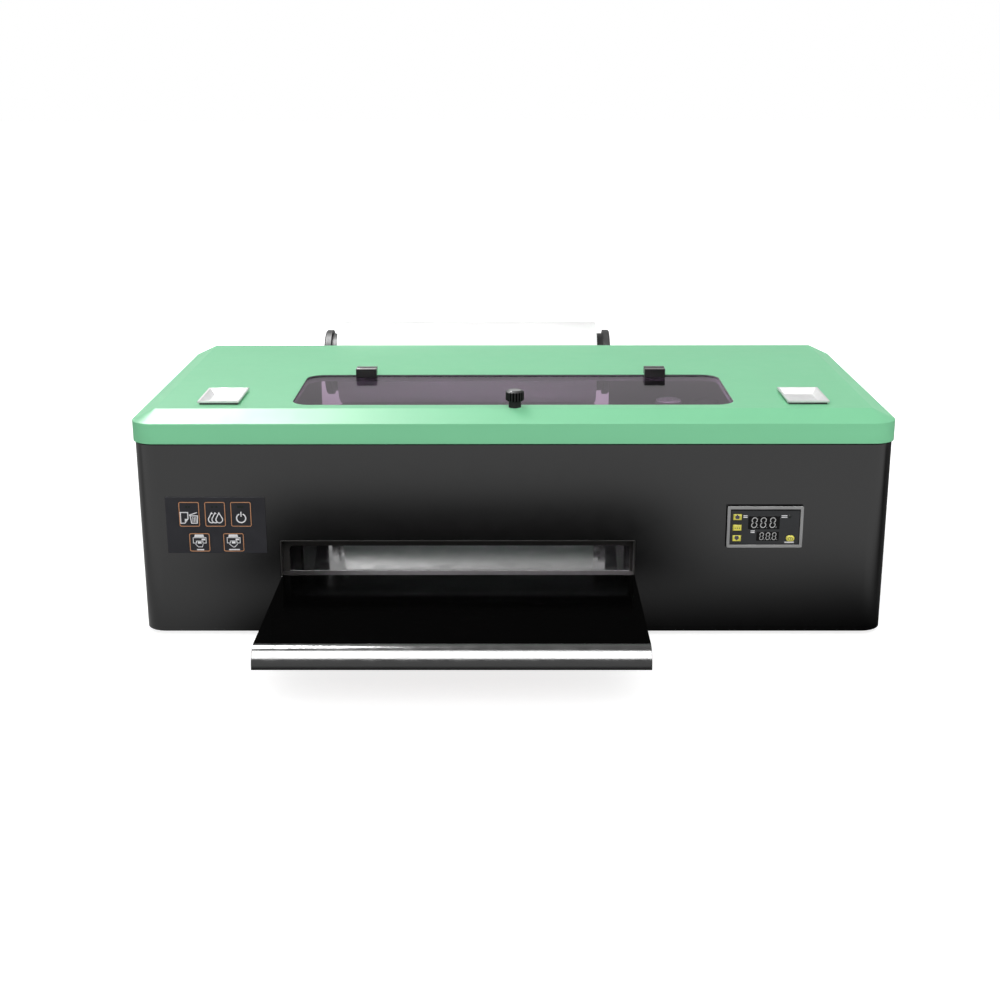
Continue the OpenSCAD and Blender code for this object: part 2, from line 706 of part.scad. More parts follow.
// Brackets that bolt the tray to the case front, with their screws
module tray_brackets() color("gray") from_front()
for (s = [-1, 1]) translate([path_x + s * bracket_span / 2, 0, 0]) {
    arm_z = sill_z - tray_t - mat_t;
    flange = case_inset - bracket_t;
    translate([-7, 0, 0]) along_x(bracket_t)
        polygon([[flange, bracket_low], [flange, arm_z - bracket_t], [-150, arm_z - bracket_t],
                 [-150, arm_z - 10], [-60, arm_z - 14]]);
    span([-11, -155, arm_z - bracket_t], [11, flange, arm_z]);
    difference() {
        span([-11, flange, bracket_low], [11, case_inset, arm_z]);
        for (z = bracket_screw_zs) translate([bracket_screw_x, -10, z]) rotate([-90, 0, 0])
            cylinder(r = tray_screw_r, h = 20);
    }
    for (z = bracket_screw_zs)
        translate([bracket_screw_x, flange - tray_screw_r - 1, z]) rotate([-90, 0, 0]) {
        cylinder(r = tray_screw_r, h = 14);
        cylinder(r = tray_screw_r + 2.5, h = tray_screw_r + 1);
    }
}

// ---------- film feed ----------

frame_in = slot_w / 2 + 0.75;
frame_back = panel_y - 19.5;
frame_left = path_x - frame_in;
frame_right = path_x + frame_in;
platen_front = case_inset + bezel_depth + bezel_wall + clear;
platen_back = nip_y - feed_r - 4;
nip_top = sill_z + (nip_y - platen_front) * tan(platen_tilt);
feed_z = nip_top - feed_r;
film_gap = 0.3;
pinch_z = nip_top + 2 * film_gap + film_t + pinch_r;
bush_r = feed_shaft_r + 3;
axis_z = foot_h + roll_z;
web_back = guide_y + 28;
rail_y = guide_y + 25;
rail_low = foot_h + guide_z - 12;
rail_top = foot_h + guide_z + 46;

// Glossy tilted plate that the film slides over
module platen() color("slategray") from_front()
translate([path_x, platen_front, sill_z]) rotate([platen_tilt, 0, 0]) {
    translate([clear - frame_in, 0, -platen_t])
        cube([2 * (frame_in - clear), platen_back - platen_front, platen_t]);
    // Folded stiffeners under the front and back edges
    for (y = [0, platen_back - platen_front - platen_t])
        translate([clear - frame_in, y, -14]) cube([2 * (frame_in - clear), platen_t, 14 - platen_t]);
}

// Plates at both ends of the rollers, low in front of the rail so that the carriage passes
module side_frames() color("silver") from_front() {
    for (x = [frame_left - frame_t, frame_right]) translate([x + frame_t / 2, 0, 0]) difference() {
        union() {
            along_x(frame_t) polygon([
                [24, deck_z], [frame_back, deck_z], [frame_back, foot_h + 140], [rail_y + 35, rail_top - 4],
                [rail_y + 3 + clear, rail_top - 4], [rail_y + 3 + clear, pinch_z + 12],
                [nip_y + 22, pinch_z + 12], [nip_y + 22, pinch_z + 5.5], [nip_y - 7, pinch_z + 5.5],
                [nip_y - 7, nip_top - 5], [24, sill_z - 4]]);
            // Foot folded over the base plate
            span([-frame_t / 2, 60, deck_z], [14, frame_back - 10, deck_z + 2]);
        }
        translate([0, nip_y, feed_z]) bar(-9, 9, bush_r);
        translate([0, nip_y, pinch_z]) bar(-9, 9, pinch_shaft_r + running);
    }
    // Bronze bushes, separate solids in the frames' holes
    for (x = [frame_left - frame_t, frame_right]) translate([x, nip_y, feed_z]) difference() {
        bar(-clear, frame_t + clear, bush_r - shell_clear / 4);
        bar(-5, 9, feed_shaft_r + running);
    }
}

// Turns a rubber-sleeved shaft under the film; its pulley is outside the left frame
pulley_x = frame_left - frame_t - 12;
pulley_w = belt_w + 2;
module feed_roller() color("dimgray") from_front() translate([0, nip_y, feed_z]) {
    pitch = (film_w - 10) / sleeves;
    bar(pulley_x - 2, frame_right + frame_t + 6, feed_shaft_r);
    for (i = [0:sleeves - 1]) translate([path_x + (i - (sleeves - 1) / 2) * pitch, 0, 0])
        bar(-pitch / 2 + 8, pitch / 2 - 8, feed_r);
    translate([pulley_x, 0, 0]) bar(0, pulley_w, feed_pulley_r);
}

module pinch_rollers() color("black") from_front() translate([0, nip_y, pinch_z]) {
    pitch = (film_w - 10) / sleeves;
    bar(frame_left - frame_t + 0.5, frame_right + frame_t - 0.5, pinch_shaft_r);
    for (i = [0:sleeves - 1]) translate([path_x + (i - (sleeves - 1) / 2) * pitch, 0, 0])
        bar(-pitch / 2 + 12, pitch / 2 - 12, pinch_r);
}

// Cross bar whose arms press on the pinch shaft
module pinch_holder() color("gray") from_front() {
    pitch = (film_w - 10) / sleeves;
    bar_z = pinch_z + 3;
    span([frame_left + clear, nip_y + 11, bar_z], [frame_right - clear, nip_y + 21, bar_z + 8]);
    for (i = [0:sleeves]) translate([path_x + (i - sleeves / 2) * pitch, 0, 0]) difference() {
        union() {
            translate([0, nip_y, pinch_z]) bar(-2, 2, pinch_shaft_r + 2.5);
            along_x(4) polygon([[nip_y, pinch_z], [nip_y + 12, bar_z], [nip_y + 12, bar_z + 6],
                                [nip_y, pinch_z + pinch_shaft_r + 2]]);
        }
        translate([0, nip_y, pinch_z]) bar(-5, 5, pinch_shaft_r + running);
    }
}

// The film from the roller nip to the underside of the roll
web_dy = roll_y - nip_y;
web_low = nip_top + film_gap;
web_dz = axis_z - web_low;
web_len = sqrt(web_dy * web_dy + web_dz * web_dz);
web_reach = roll_r + film_gap + film_t;
web_angle = atan2(web_dz, web_dy) - asin(web_reach / web_len);
web_run = sqrt(web_len * web_len - web_reach * web_reach);
module film_web() color([0.95, 0.95, 0.93, 0.9]) from_front() translate([path_x, 0, 0]) along_x(film_w) {
    end = [nip_y + web_run * cos(web_angle), web_low + web_run * sin(web_angle)];
    lift = [-film_t * sin(web_angle), film_t * cos(web_angle)];
    polygon([[nip_y - 10, web_low], [nip_y, web_low], end, end + lift,
             [nip_y, web_low + film_t], [nip_y - 10, web_low + film_t]]);
}

// ---------- carriage and rail ----------

shaft_z = foot_h + guide_z;
belt_y = guide_y + 12;
belt_z = shaft_z + 30;
strand = belt_pulley_r + belt_t / 2 + clear;
drive_x = rail_right - 20;
idler_x = rail_left + 20;
head_low = nip_top + head_gap + film_t + 2.5;
head_y = guide_y - 48;
parked = carriage_w / 2;

// Steel channel with end plates for the guide shaft
module carriage_rail() color("silver") from_front() {
    // Encoder strip, a separate solid that hangs under the upper flange
    span([idler_x + 14, rail_y - 14.5, rail_top - 15], [drive_x - 14, rail_y - 14, rail_top - 3 - shell_clear]);
    difference() {
    union() {
        span([rail_left, rail_y, rail_low], [rail_right, rail_y + 3, rail_top]);
        for (z = [rail_low, rail_top - 3])
            span([rail_left, rail_y - 15, z], [rail_right, rail_y, z + 3]);
        for (x = [rail_left, rail_right - 3]) {
            span([x, guide_y - 9, rail_low], [x + 3, rail_y, shaft_z + 9]);
            span([x, rail_y - 15, rail_low], [x + 3, rail_y, rail_top]);
        }
        // Pin that carries the idler pulley
        translate([idler_x, rail_y, belt_z]) rotate([90, 0, 0])
            cylinder(r = motor_shaft_r, h = rail_y - belt_y + 6);
    }
    translate([0, guide_y, shaft_z]) bar(rail_left - 1, rail_right + 1, guide_r);
    translate([drive_x, rail_y - 1, belt_z]) rotate([-90, 0, 0]) cylinder(r = motor_shaft_r + 2, h = 10);
    }
}

module guide_shaft() color("gainsboro") from_front() translate([0, guide_y, shaft_z])
    bar(rail_left, rail_right, guide_r);

// Flat belt around two pulleys that lie at (0, 0) and (dx, dz), drawn in X and height
module belt_loop(dx, dz, r0, r1) {
    len = sqrt(dx * dx + dz * dz);
    lean = asin((r0 - r1) / len);
    rotate(atan2(dz, dx)) difference() {
        belt_form(len, lean, r0 + belt_t, r1 + belt_t);
        belt_form(len, lean, r0, r1);
    }
}
module belt_form(len, lean, r0, r1) polygon(concat(
    arc(0, 0, r0, 90 - lean, 270 + lean, 24),
    arc(len, 0, r1, lean - 90, 90 - lean, 24)));

feed_motor_y = nip_y + 46;
feed_motor_z = feed_z - 14;
module drive_belts() color("black") from_front() {
    facing(belt_y, belt_w) translate([idler_x, belt_z])
        belt_loop(drive_x - idler_x, 0, belt_pulley_r + clear, belt_pulley_r + clear);
    translate([pulley_x + pulley_w / 2, nip_y, feed_z]) along_x(belt_w)
        belt_loop(feed_motor_y - nip_y, feed_motor_z - feed_z, feed_pulley_r + clear, motor_pulley_r + clear);
}

carriage_motor_len = 25;
module motor_body(r, len) {
    difference() {
        union() {
            cylinder(r = r, h = len);
            translate([0, 0, len]) cylinder(r = motor_shaft_r + 1.7, h = 2);
        }
        translate([0, 0, 4]) cylinder(r = motor_shaft_r + running, h = len);
    }
}

// Carriage motor behind the rail and feed motor in the left bay, on its bracket
module drive_motors() color("dimgray") from_front() {
    translate([drive_x, rail_y + 3 + carriage_motor_len, belt_z]) rotate([90, 0, 0])
        motor_body(17, carriage_motor_len);
    translate([pulley_x - 44, feed_motor_y, feed_motor_z]) rotate([0, 90, 0]) motor_body(18, 40);
    difference() {
        span([pulley_x - 4, feed_motor_y - 22, deck_z], [pulley_x - 2, feed_motor_y + 22, feed_motor_z + 22]);
        translate([pulley_x, feed_motor_y, feed_motor_z]) bar(-50, 5, motor_shaft_r + 4);
    }
    span([pulley_x - 24, feed_motor_y - 22, deck_z], [pulley_x - 4, feed_motor_y + 22, deck_z + 2]);
}

module drive_pulley() color("silver") from_front()
translate([drive_x, belt_y, belt_z]) rotate([-90, 0, 0]) {
    cylinder(r = belt_pulley_r, h = belt_w);
    for (z = [-1.5, belt_w + clear]) translate([0, 0, z]) cylinder(r = belt_pulley_r + 2.5, h = 1.2);
    translate([0, 0, -1.5]) cylinder(r = motor_shaft_r, h = rail_y + carriage_motor_len - belt_y);
}

module idler_pulley() color("silver") from_front() translate([idler_x, belt_y, belt_z]) rotate([-90, 0, 0])
    difference() {
        union() {
            cylinder(r = belt_pulley_r, h = belt_w);
            for (z = [-1.5, belt_w + clear]) translate([0, 0, z]) cylinder(r = belt_pulley_r + 2.5, h = 1.2);
        }
        translate([0, 0, -5]) cylinder(r = motor_shaft_r + running, h = 30);
    }

module feed_motor_pulley() color("silver") from_front()
    translate([pulley_x, feed_motor_y, feed_motor_z]) {
        bar(0, pulley_w, motor_pulley_r);
        bar(-38, pulley_w + 1, motor_shaft_r);
    }

// Carriage body that rides on the guide shaft and grips the belt's lower strand
module carriage() color([0.2, 0.2, 0.22]) from_front() translate([park_x, 0, 0]) difference() {
    low = head_low + 25;
    clip_z = belt_z - strand;
    union() {
        span([-parked, head_y, low], [parked, guide_y + 8, low + 14]);
        span([-parked, guide_y - 9, low], [parked, guide_y + 8, shaft_z + 9]);
        for (s = [-1, 1]) translate([s * (parked - 1.5), 0, 0]) along_x(3)
            polygon([[head_y, low], [guide_y, low], [guide_y, shaft_z + 9], [guide_y - 9, shaft_z + 9],
                     [head_y, low + 44]]);
        // Belt clip
        span([-12, guide_y + 8, shaft_z - 2], [12, guide_y + 10.5, clip_z + 5]);
        span([-12, guide_y + 8, clip_z - 5], [12, belt_y + belt_w + 1, clip_z + 3.5]);
    }
    translate([0, guide_y, shaft_z]) bar(-parked - 1, parked + 1, guide_r + running);
    span([-13, belt_y - clear, clip_z - belt_t / 2 - clear],
         [13, belt_y + belt_w + clear, clip_z + belt_t / 2 + clear]);
}

// Ink head under the carriage with the six dampers that feed it
module print_head() color("gray") from_front() translate([park_x, head_y, 0]) {
    low = head_low + 25;
    span([6 - parked, 4, head_low], [parked - 6, 30, low]);
    for (i = [0:5]) translate([(i - 2.5) * 10.5, 0, 0])
        span([-4.5, 4, low + 14], [4.5, 34, low + 40]);
}

// Capping station and wiper under the parked head
module capping_station() color("dimgray") from_front() translate([park_x, head_y, 0]) {
    difference() {
        span([-parked, -2, deck_z], [parked, 38, head_low - 10]);
        span([3 - parked, 1, deck_z + 6], [parked - 3, 35, head_low - 13]);
    }
    difference() {
        span([8 - parked, 5, head_low - 10], [parked - 8, 29, head_low - 1]);
        span([11 - parked, 8, head_low - 6], [parked - 11, 26, head_low]);
    }
    span([-parked - 6, 6, deck_z], [-parked - 4, 28, head_low - 3]);
}

// Waste tank, filled with its absorbent pad, with a funnel for the drain
module waste_tank() color("lightgray") from_front() {
    left = hood_w / 2 - park_inset - carriage_w / 2 - 7;
    right = hood_w / 2 - 15;
    front = ink_y + tank_d / 2 + waste_gap;
    back = panel_y - 34.5;
    difference() {
        span([left, front, deck_z], [right, back, deck_z + waste_h]);
        translate([left + 20, (front + back) / 2, deck_z + waste_h - 8]) cylinder(r1 = 4, r2 = 9, h = 8.01);
    }
}

// ---------- ink ----------

tank_top = foot_h + white_cap_z - 20;
ink_x = frame_right + ink_from_frame;
ink_pitch = (hood_w / 2 - ink_inset - ink_x) / (ink_tanks_n - 1);
tank_w = ink_pitch - tank_gap;
// Ink tanks with their ink, each under its screw neck
module ink_tanks() color("gainsboro") from_front() for (i = [0:ink_tanks_n - 1])
    translate([ink_x + i * ink_pitch, ink_y, 0]) {
        span([-tank_w / 2, -tank_d / 2, deck_z], [tank_w / 2, tank_d / 2, tank_top]);
        translate([0, 0, tank_top]) cylinder(r = cap_r - 3, h = 12);
        // The other inks have low black caps of their own
        if (i > 0) translate([0, 0, tank_top + 2]) cylinder(r = cap_r, h = 10);
    }

module white_ink_cap() color("white") from_front() translate([ink_x, ink_y, 0]) difference() {
    translate([0, 0, tank_top + 5]) cylinder(r = cap_r, h = 15);
    translate([0, 0, tank_top + 4]) cylinder(r = cap_r - 3 + shell_clear, h = 12);
}

// ---------- electronics ----------

// Main board on its standoffs, and the board behind the key panel
module circuit_boards() color("darkgreen") from_front() {
    lift = 10;
    translate([path_x, (nip_y + frame_back) / 2 + 7.5, deck_z]) {
        span([-board_w / 2, -board_d / 2, lift], [board_w / 2, board_d / 2, lift + 1.6]);
        for (x = [-1, 1], y = [-1, 1]) translate([x * (board_w / 2 - 6), y * (board_d / 2 - 6), 0])
            cylinder(r = 3, h = lift);
        translate([0, 0, lift + 1.6]) {
            span([-60, -40, 0], [-30, -10, 2.4]);
            span([10, -30, 0], [34, -6, 2.4]);
            span([-80, 30, 0], [-20, 42, 8.4]);
            for (i = [0:3]) translate([50 + i * 10, 40, 0]) cylinder(r = 4, h = 14);
        }
    }
    board_y = case_inset + sheet + 4.5;
    span([keys_x - keys_w / 2 + 2, board_y, foot_h + keys_z - keys_h / 2 + 2],
         [keys_x + keys_w / 2 - 2, board_y + 1.6, foot_h + keys_z + keys_h / 2 - 2]);
    for (s = [-1, 1]) translate([keys_x + s * (keys_w / 2 - 6), case_inset + sheet, foot_h + keys_z])
        rotate([-90, 0, 0]) cylinder(r = 2.5, h = 4.5);
}

module power_supply() color("silver") from_front() {
    left = 10 - hood_w / 2;
    right = frame_left - frame_t - supply_gap;
    back = panel_y - 29.5;
    difference() {
        span([left, back - supply_d, deck_z], [right, back, deck_z + supply_h]);
        span([left + 1, back - supply_d + 1, deck_z + 1],
             [right - 1, back - 1, deck_z + supply_h - 1]);
        for (i = [0:7]) translate([(left + right) / 2, back - supply_d + 15 + i * 13, deck_z + supply_h])
            cube([0.7 * (right - left), 5, 10], center = true);
    }
}

inlet_w = 48;
inlet_h = 58;
usb_x = inlet_x - socket_pitch;
// Data socket, and the mains inlet block with its rocker's well over a three-pin socket
module rear_sockets() color("black") from_front() {
    difference() {
        facing(panel_y - 14, 14 + sheet) translate([usb_x, foot_h + inlet_z])
            square([12 - 2 * shell_clear, 11 - 2 * shell_clear], center = true);
        facing(panel_y - 10, 20) translate([usb_x, foot_h + inlet_z]) square([8.4, 7.8], center = true);
    }
    inlet_block();
}
socket_z = -14;
rocker_z = 15;
rocker_w = 24;
rocker_h = 14;
rocker_tilt = 8;
rocker_pin_r = 1.5;
rocker_y = hood_d - 4;
module inlet_block() translate([inlet_x, 0, foot_h + inlet_z]) {
    difference() {
        union() {
            facing(hood_d, 2.5) square([inlet_w + 6, inlet_h + 6], center = true);
            facing(hood_d - 28, 28) square([inlet_w, inlet_h], center = true);
        }
        facing(hood_d - 15, 20) translate([0, socket_z]) square([27, 18], center = true);
        facing(hood_d - 12, 20) translate([0, rocker_z])
            square([rocker_w + 2 * clear, rocker_h + 2 * clear], center = true);
        translate([0, rocker_y, rocker_z]) bar(-rocker_w / 2 - 3, rocker_w / 2 + 3, rocker_pin_r + 0.15);
    }
    for (x = [-8, 0, 8]) translate([x, hood_d - 16, socket_z + (x == 0 ? 4 : -3)])
        cube([2, 24, 5], center = true);
}

// Rocker switch, tilted to its off side; it turns on a pin across the inlet's well
module power_rocker() color("firebrick") from_front()
    translate([inlet_x, rocker_y, foot_h + inlet_z + rocker_z]) rotate([rocker_tilt, 0, 0]) {
        along_x(rocker_w)
            polygon([[-4, -rocker_h / 2 + 1.8], [4.4, -rocker_h / 2 + 0.9], [5.6, 0],
                     [4.4, rocker_h / 2 - 0.9], [-4, rocker_h / 2 - 1.8]]);
        bar(-rocker_w / 2 - 2.5, rocker_w / 2 + 2.5, rocker_pin_r);
    }

module fan_frame() color("black") from_front() translate([fan_x, panel_y - 25, foot_h + fan_z]) {
    difference() {
        facing(0, 25) rounded(fan_size, fan_size, 4);
        rotate([-90, 0, 0]) translate([0, 0, -1]) cylinder(r = fan_size / 2 - 2, h = 30);
        for (x = [-1, 1], z = [-1, 1]) translate([x * (fan_size / 2 - 4), -1, z * (fan_size / 2 - 4)])
            rotate([-90, 0, 0]) cylinder(r = 2, h = 30);
    }
    // Three spokes and the motor's seat, with the pin that the rotor turns on
    for (a = [30, 150, 270]) rotate([0, a, 0]) translate([0, 0, -2]) cube([fan_size / 2 - 1, 3, 4]);
    rotate([-90, 0, 0]) {
        cylinder(r = 16, h = 3);
        cylinder(r = 2, h = 22);
    }
}

// Hub with seven pitched blades
module fan_rotor() color("dimgray") from_front()
    translate([fan_x, panel_y - 25, foot_h + fan_z]) rotate([-90, 0, 0]) difference() {
        union() {
            translate([0, 0, 3 + clear]) cylinder(r = 16, h = 19);
            for (i = [0:6]) rotate(i * 360 / 7) translate([14, 0, 13]) rotate([35, 0, 0])
                translate([0, -10, -1]) cube([fan_size / 2 - 18, 20, 2]);
        }
        translate([0, 0, -1]) cylinder(r = 2 + running, h = 40);
    }

// ---------- roll ----------

roll_end = film_w / 2;
disc_in = roll_end + collar_gap;
arm_in = disc_in + disc_t + 12;
arm_t = 4;
roll_back_y = hood_d;

module on_roll_axis() translate([path_x, front_y + roll_y, axis_z]) children();

// Arms on the back panel with open slots for the spindle
module roll_brackets() color([0.16, 0.16, 0.16]) from_front()
for (s = [-1, 1]) translate([path_x + s * (arm_in + arm_t / 2), 0, 0]) {
    difference() {
        along_x(arm_t) polygon([
            [roll_back_y, foot_h + 95], [roll_back_y, foot_h + 205], [roll_y - 40, axis_z + 14],
            [roll_y + 15, axis_z + 14], [roll_y + 20, axis_z - 4], [roll_y + 12, axis_z - 18]]);
        translate([0, roll_y, axis_z]) bar(-5, 5, spindle_r + running);
        span([-5, roll_y - spindle_r - running, axis_z], [5, roll_y + spindle_r + running, axis_z + 40]);
    }
    span([s > 0 ? -2 : -20, roll_back_y, foot_h + 95], [s > 0 ? 20 : 2, roll_back_y + 3, foot_h + 178]);
}

module spindle() color("silver") on_roll_axis() {
    bar(-arm_in - arm_t - 8, arm_in + arm_t + 8, spindle_r);
    for (s = [-1, 1]) translate([s * (arm_in - 3), 0, 0]) bar(-2, 2, spindle_r + 3);
}

// Flange discs with the black plugs that hold the core, on the spindle
module roll_flanges() color([0.2, 0.2, 0.2]) on_roll_axis() for (s = [0, 1]) mirror([s, 0, 0]) difference() {
    chamfer = 1.5;
    union() {
        bar(disc_in, disc_in + disc_t - chamfer, disc_r);
        translate([disc_in + disc_t - chamfer, 0, 0]) rotate([0, 90, 0])
            cylinder(r1 = disc_r, r2 = disc_r - chamfer, h = chamfer);
        bar(roll_end - plug_len, disc_in, core_bore_r - 0.2);
        bar(roll_end + clear, disc_in, core_bore_r - 0.2);
        bar(disc_in + disc_t - 0.5, disc_in + disc_t + 6, spindle_r + 6);
    }
    bar(0, disc_in + 40, spindle_r);
}

// The wound film, and its paper core as a separate solid
module film_roll() color("whitesmoke") on_roll_axis() {
    difference() {
        bar(-roll_end, roll_end, roll_r);
        bar(-roll_end - 1, roll_end + 1, core_r + 0.05);
    }
    difference() {
        bar(-roll_end, roll_end, core_r);
        bar(-roll_end - 1, roll_end + 1, core_bore_r);
    }
}

// ---------- key panel ----------

// Keys as [x, height, width, tall] about the panel's middle: three over two
top_key = [21.3, 26.7];
low_key = [21.3, 19.9];
top_pitch = 26.95;
low_pitch = 35.6;
function key_size(i) = i < 3 ? top_key : low_key;
function key_place(i) = i < 3 ? [(i - 1) * top_pitch - 0.55, 11.9] : [(i - 3.5) * low_pitch - 0.45, -18.8];
overlay_y = case_inset - overlay_t;

module key_outline(i, grow) translate([keys_x, foot_h + keys_z] + key_place(i))
    rounded(key_size(i)[0] + 2 * grow, key_size(i)[1] + 2 * grow, 1.5 + max(grow, 0));

module key_panel() color([0.19, 0.19, 0.2]) from_front() facing(overlay_y, overlay_t) difference() {
    translate([keys_x, foot_h + keys_z]) square([keys_w, keys_h], center = true);
    for (i = [0:4]) key_outline(i, key_gap);
}

// Key cap, its retaining flange behind the case front and its plunger
module key_cap(i) color([0.2, 0.2, 0.21]) from_front() {
    back = case_inset + sheet + clear;
    facing(overlay_y, back - overlay_y) key_outline(i, 0);
    facing(back, 1.6) key_outline(i, 1.2);
    translate([keys_x + key_place(i)[0], back, foot_h + keys_z + key_place(i)[1]]) rotate([-90, 0, 0])
        cylinder(r = 2.5, h = 4.5 - clear - key_travel - 0.15);
}

module key_eject() key_cap(0);
module key_ink() key_cap(1);
module key_power() key_cap(2);
module key_back() key_cap(3);
module key_enter() key_cap(4);

// ---------- temperature controller ----------

bezel_y = case_inset - thermo_proud;
face_t = 1.2;
face_y = case_inset - face_t;
face_w = thermo_w - 2 * thermo_rim;
face_h = thermo_h - 2 * thermo_rim;
box_wall = 1.2;
board_gap = 4.5;
square_key = [8.8, 6.3];
square_key_x = -28.9;
square_pitch = 11.5;
oval_key = [8.8, 6.4];
oval_key_at = [26.9, -12.5];
function square_key_at(i) = [square_key_x, (1 - i) * square_pitch - 0.8];

module thermo_at() translate([thermo_x, foot_h + thermo_z]) children();
module square_key_outline(i, grow) translate(square_key_at(i))
    square([square_key[0] + 2 * grow, square_key[1] + 2 * grow], center = true);
module oval_key_outline(grow) translate(oval_key_at)
    rounded(oval_key[0] + 2 * grow, oval_key[1] + 2 * grow, oval_key[1] / 2 + grow - 0.05);

// Bezel and box in one, open behind the face, with the circuit board as a separate solid
module thermostat_case() color("gray") from_front() {
    board_y = face_y + face_t + board_gap;
    difference() {
        union() {
            facing(bezel_y, thermo_proud) thermo_at() rounded(thermo_w, thermo_h, 1.5);
            facing(case_inset - 0.01, thermo_depth) thermo_hole(-shell_clear);
        }
        facing(bezel_y - 1, thermo_proud + 1) thermo_at() square([face_w, face_h], center = true);
        facing(case_inset - 1, thermo_depth - 1) thermo_hole(-shell_clear - box_wall);
    }
    facing(board_y, 1.6) thermo_hole(-shell_clear - box_wall - 0.05);
}

module thermostat_face() color([0.2, 0.22, 0.23]) from_front() facing(face_y, face_t) thermo_at()
    difference() {
        square([face_w - 0.1, face_h - 0.1], center = true);
        for (i = [0:2]) square_key_outline(i, key_gap / 2);
        oval_key_outline(key_gap / 2);
    }

// Key of the controller: a cap drawn by the second child, a flange behind the face drawn
// by the first, and a plunger
module thermo_key(at) from_front() {
    back = face_y + face_t + 0.15;
    cap_y = face_y - 0.6;
    facing(back, 1) thermo_at() children(0);
    facing(cap_y, back - cap_y + 0.5) thermo_at() children(1);
    translate([thermo_x + at[0], back, foot_h + thermo_z + at[1]]) rotate([-90, 0, 0])
        cylinder(r = 2.2, h = board_gap - 0.3 - thermo_travel);
}
module square_thermo_key(i) color("khaki") thermo_key(square_key_at(i)) {
    square_key_outline(i, 0.5);
    square_key_outline(i, 0);
}

module thermostat_up() square_thermo_key(0);
module thermostat_set() square_thermo_key(1);
module thermostat_down() square_thermo_key(2);
module thermostat_restart() color("khaki") thermo_key(oval_key_at) {
    oval_key_outline(0.4);
    oval_key_outline(0);
}

case_shell();
base_plate();
back_panel();
feet();
slot_bezel();
heater_tray();
tray_nose();
heater_mat();
tray_brackets();
platen();
side_frames();
pinch_holder();
carriage_rail();
guide_shaft();
drive_belts();
drive_motors();
capping_station();
waste_tank();
ink_tanks();
white_ink_cap();
circuit_boards();
power_supply();
rear_sockets();
fan_frame();
case_hinges();
roll_brackets();
film_web();
key_panel();
thermostat_case();
thermostat_face();
hood_shell();
hood_hinges();
pull_cups();
pull_gaskets();
lid_hinge_bases();
window_lid();
lid_hinge_clamps();
lid_catch();
latch_knob();
spindle();
roll_flanges();
film_roll();
feed_roller();
pinch_rollers();
feed_motor_pulley();
carriage();
print_head();
drive_pulley();
idler_pulley();
fan_rotor();
power_rocker();
key_eject();
key_ink();
key_power();
key_back();
key_enter();
thermostat_up();
thermostat_set();
thermostat_down();
thermostat_restart();
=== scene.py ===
"""Looks of a desktop roll-fed film printer: finishes, printed marks, screws, lights and camera.

Lengths are metres in the part's own frame: X to the right, Y to the back, Z up from the floor.
"""

import json
import math
import random

import bmesh
import bpy
from mathutils import Matrix, Vector
from mathutils.bvhtree import BVHTree

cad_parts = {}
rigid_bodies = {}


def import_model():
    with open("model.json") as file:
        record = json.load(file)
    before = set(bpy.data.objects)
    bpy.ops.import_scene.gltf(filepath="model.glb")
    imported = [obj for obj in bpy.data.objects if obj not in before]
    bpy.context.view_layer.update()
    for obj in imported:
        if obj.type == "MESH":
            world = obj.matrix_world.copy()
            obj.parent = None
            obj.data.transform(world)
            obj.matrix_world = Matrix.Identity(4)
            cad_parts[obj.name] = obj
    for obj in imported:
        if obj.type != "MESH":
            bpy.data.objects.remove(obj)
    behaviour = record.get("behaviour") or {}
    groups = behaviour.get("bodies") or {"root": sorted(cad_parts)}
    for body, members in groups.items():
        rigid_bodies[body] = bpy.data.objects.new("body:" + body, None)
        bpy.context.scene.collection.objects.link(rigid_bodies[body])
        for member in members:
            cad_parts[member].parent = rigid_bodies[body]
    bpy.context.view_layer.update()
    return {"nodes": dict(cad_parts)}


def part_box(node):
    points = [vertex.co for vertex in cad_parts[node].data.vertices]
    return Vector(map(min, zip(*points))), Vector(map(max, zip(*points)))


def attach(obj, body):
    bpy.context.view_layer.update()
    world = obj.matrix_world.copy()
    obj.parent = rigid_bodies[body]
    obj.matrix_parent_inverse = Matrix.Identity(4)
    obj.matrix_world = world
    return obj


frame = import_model()
NODES = frame["nodes"]
MM = 0.001

# ---------- image points and camera ----------

# Points of the photograph in its own 1000 by 1000 frame
IMAGE_SIZE = 1000
IMAGE_POINTS = {
    "hood_back_left": (216.6, 345.5),
    "hood_back_right": (809.3, 345.1),
    "slot_top_left": (279.0, 540.3),
    "slot_top_right": (635.5, 540.3),
    "tray_front_left": (252.9, 644.5),
    "tray_front_right": (650.0, 644.5),
    "left_pull": (225.2, 394.2),
    "latch_knob": (515.0, 398.1),
    "eject_icon": (189.4, 517.8),
    "ink_icon": (215.5, 517.8),
    "power_icon": (241.1, 517.3),
    "back_icon": (199.8, 542.4),
    "enter_icon": (233.8, 542.3),
    "upper_display": (764.0, 522.6),
    "lower_display": (767.5, 536.1),
    "output_lamp": (789.9, 516.6),
}

CAMERA_AT = Vector((-0.00477, -1.63773, 0.59710))
CAMERA_YAW = 0.0059
CAMERA_PITCH = 0.2896
CAMERA_ROLL = -0.0022
CAMERA_LENS = 54.316
SENSOR = 36.0
# Focal length in pixels
FOCAL = IMAGE_SIZE * CAMERA_LENS / SENSOR


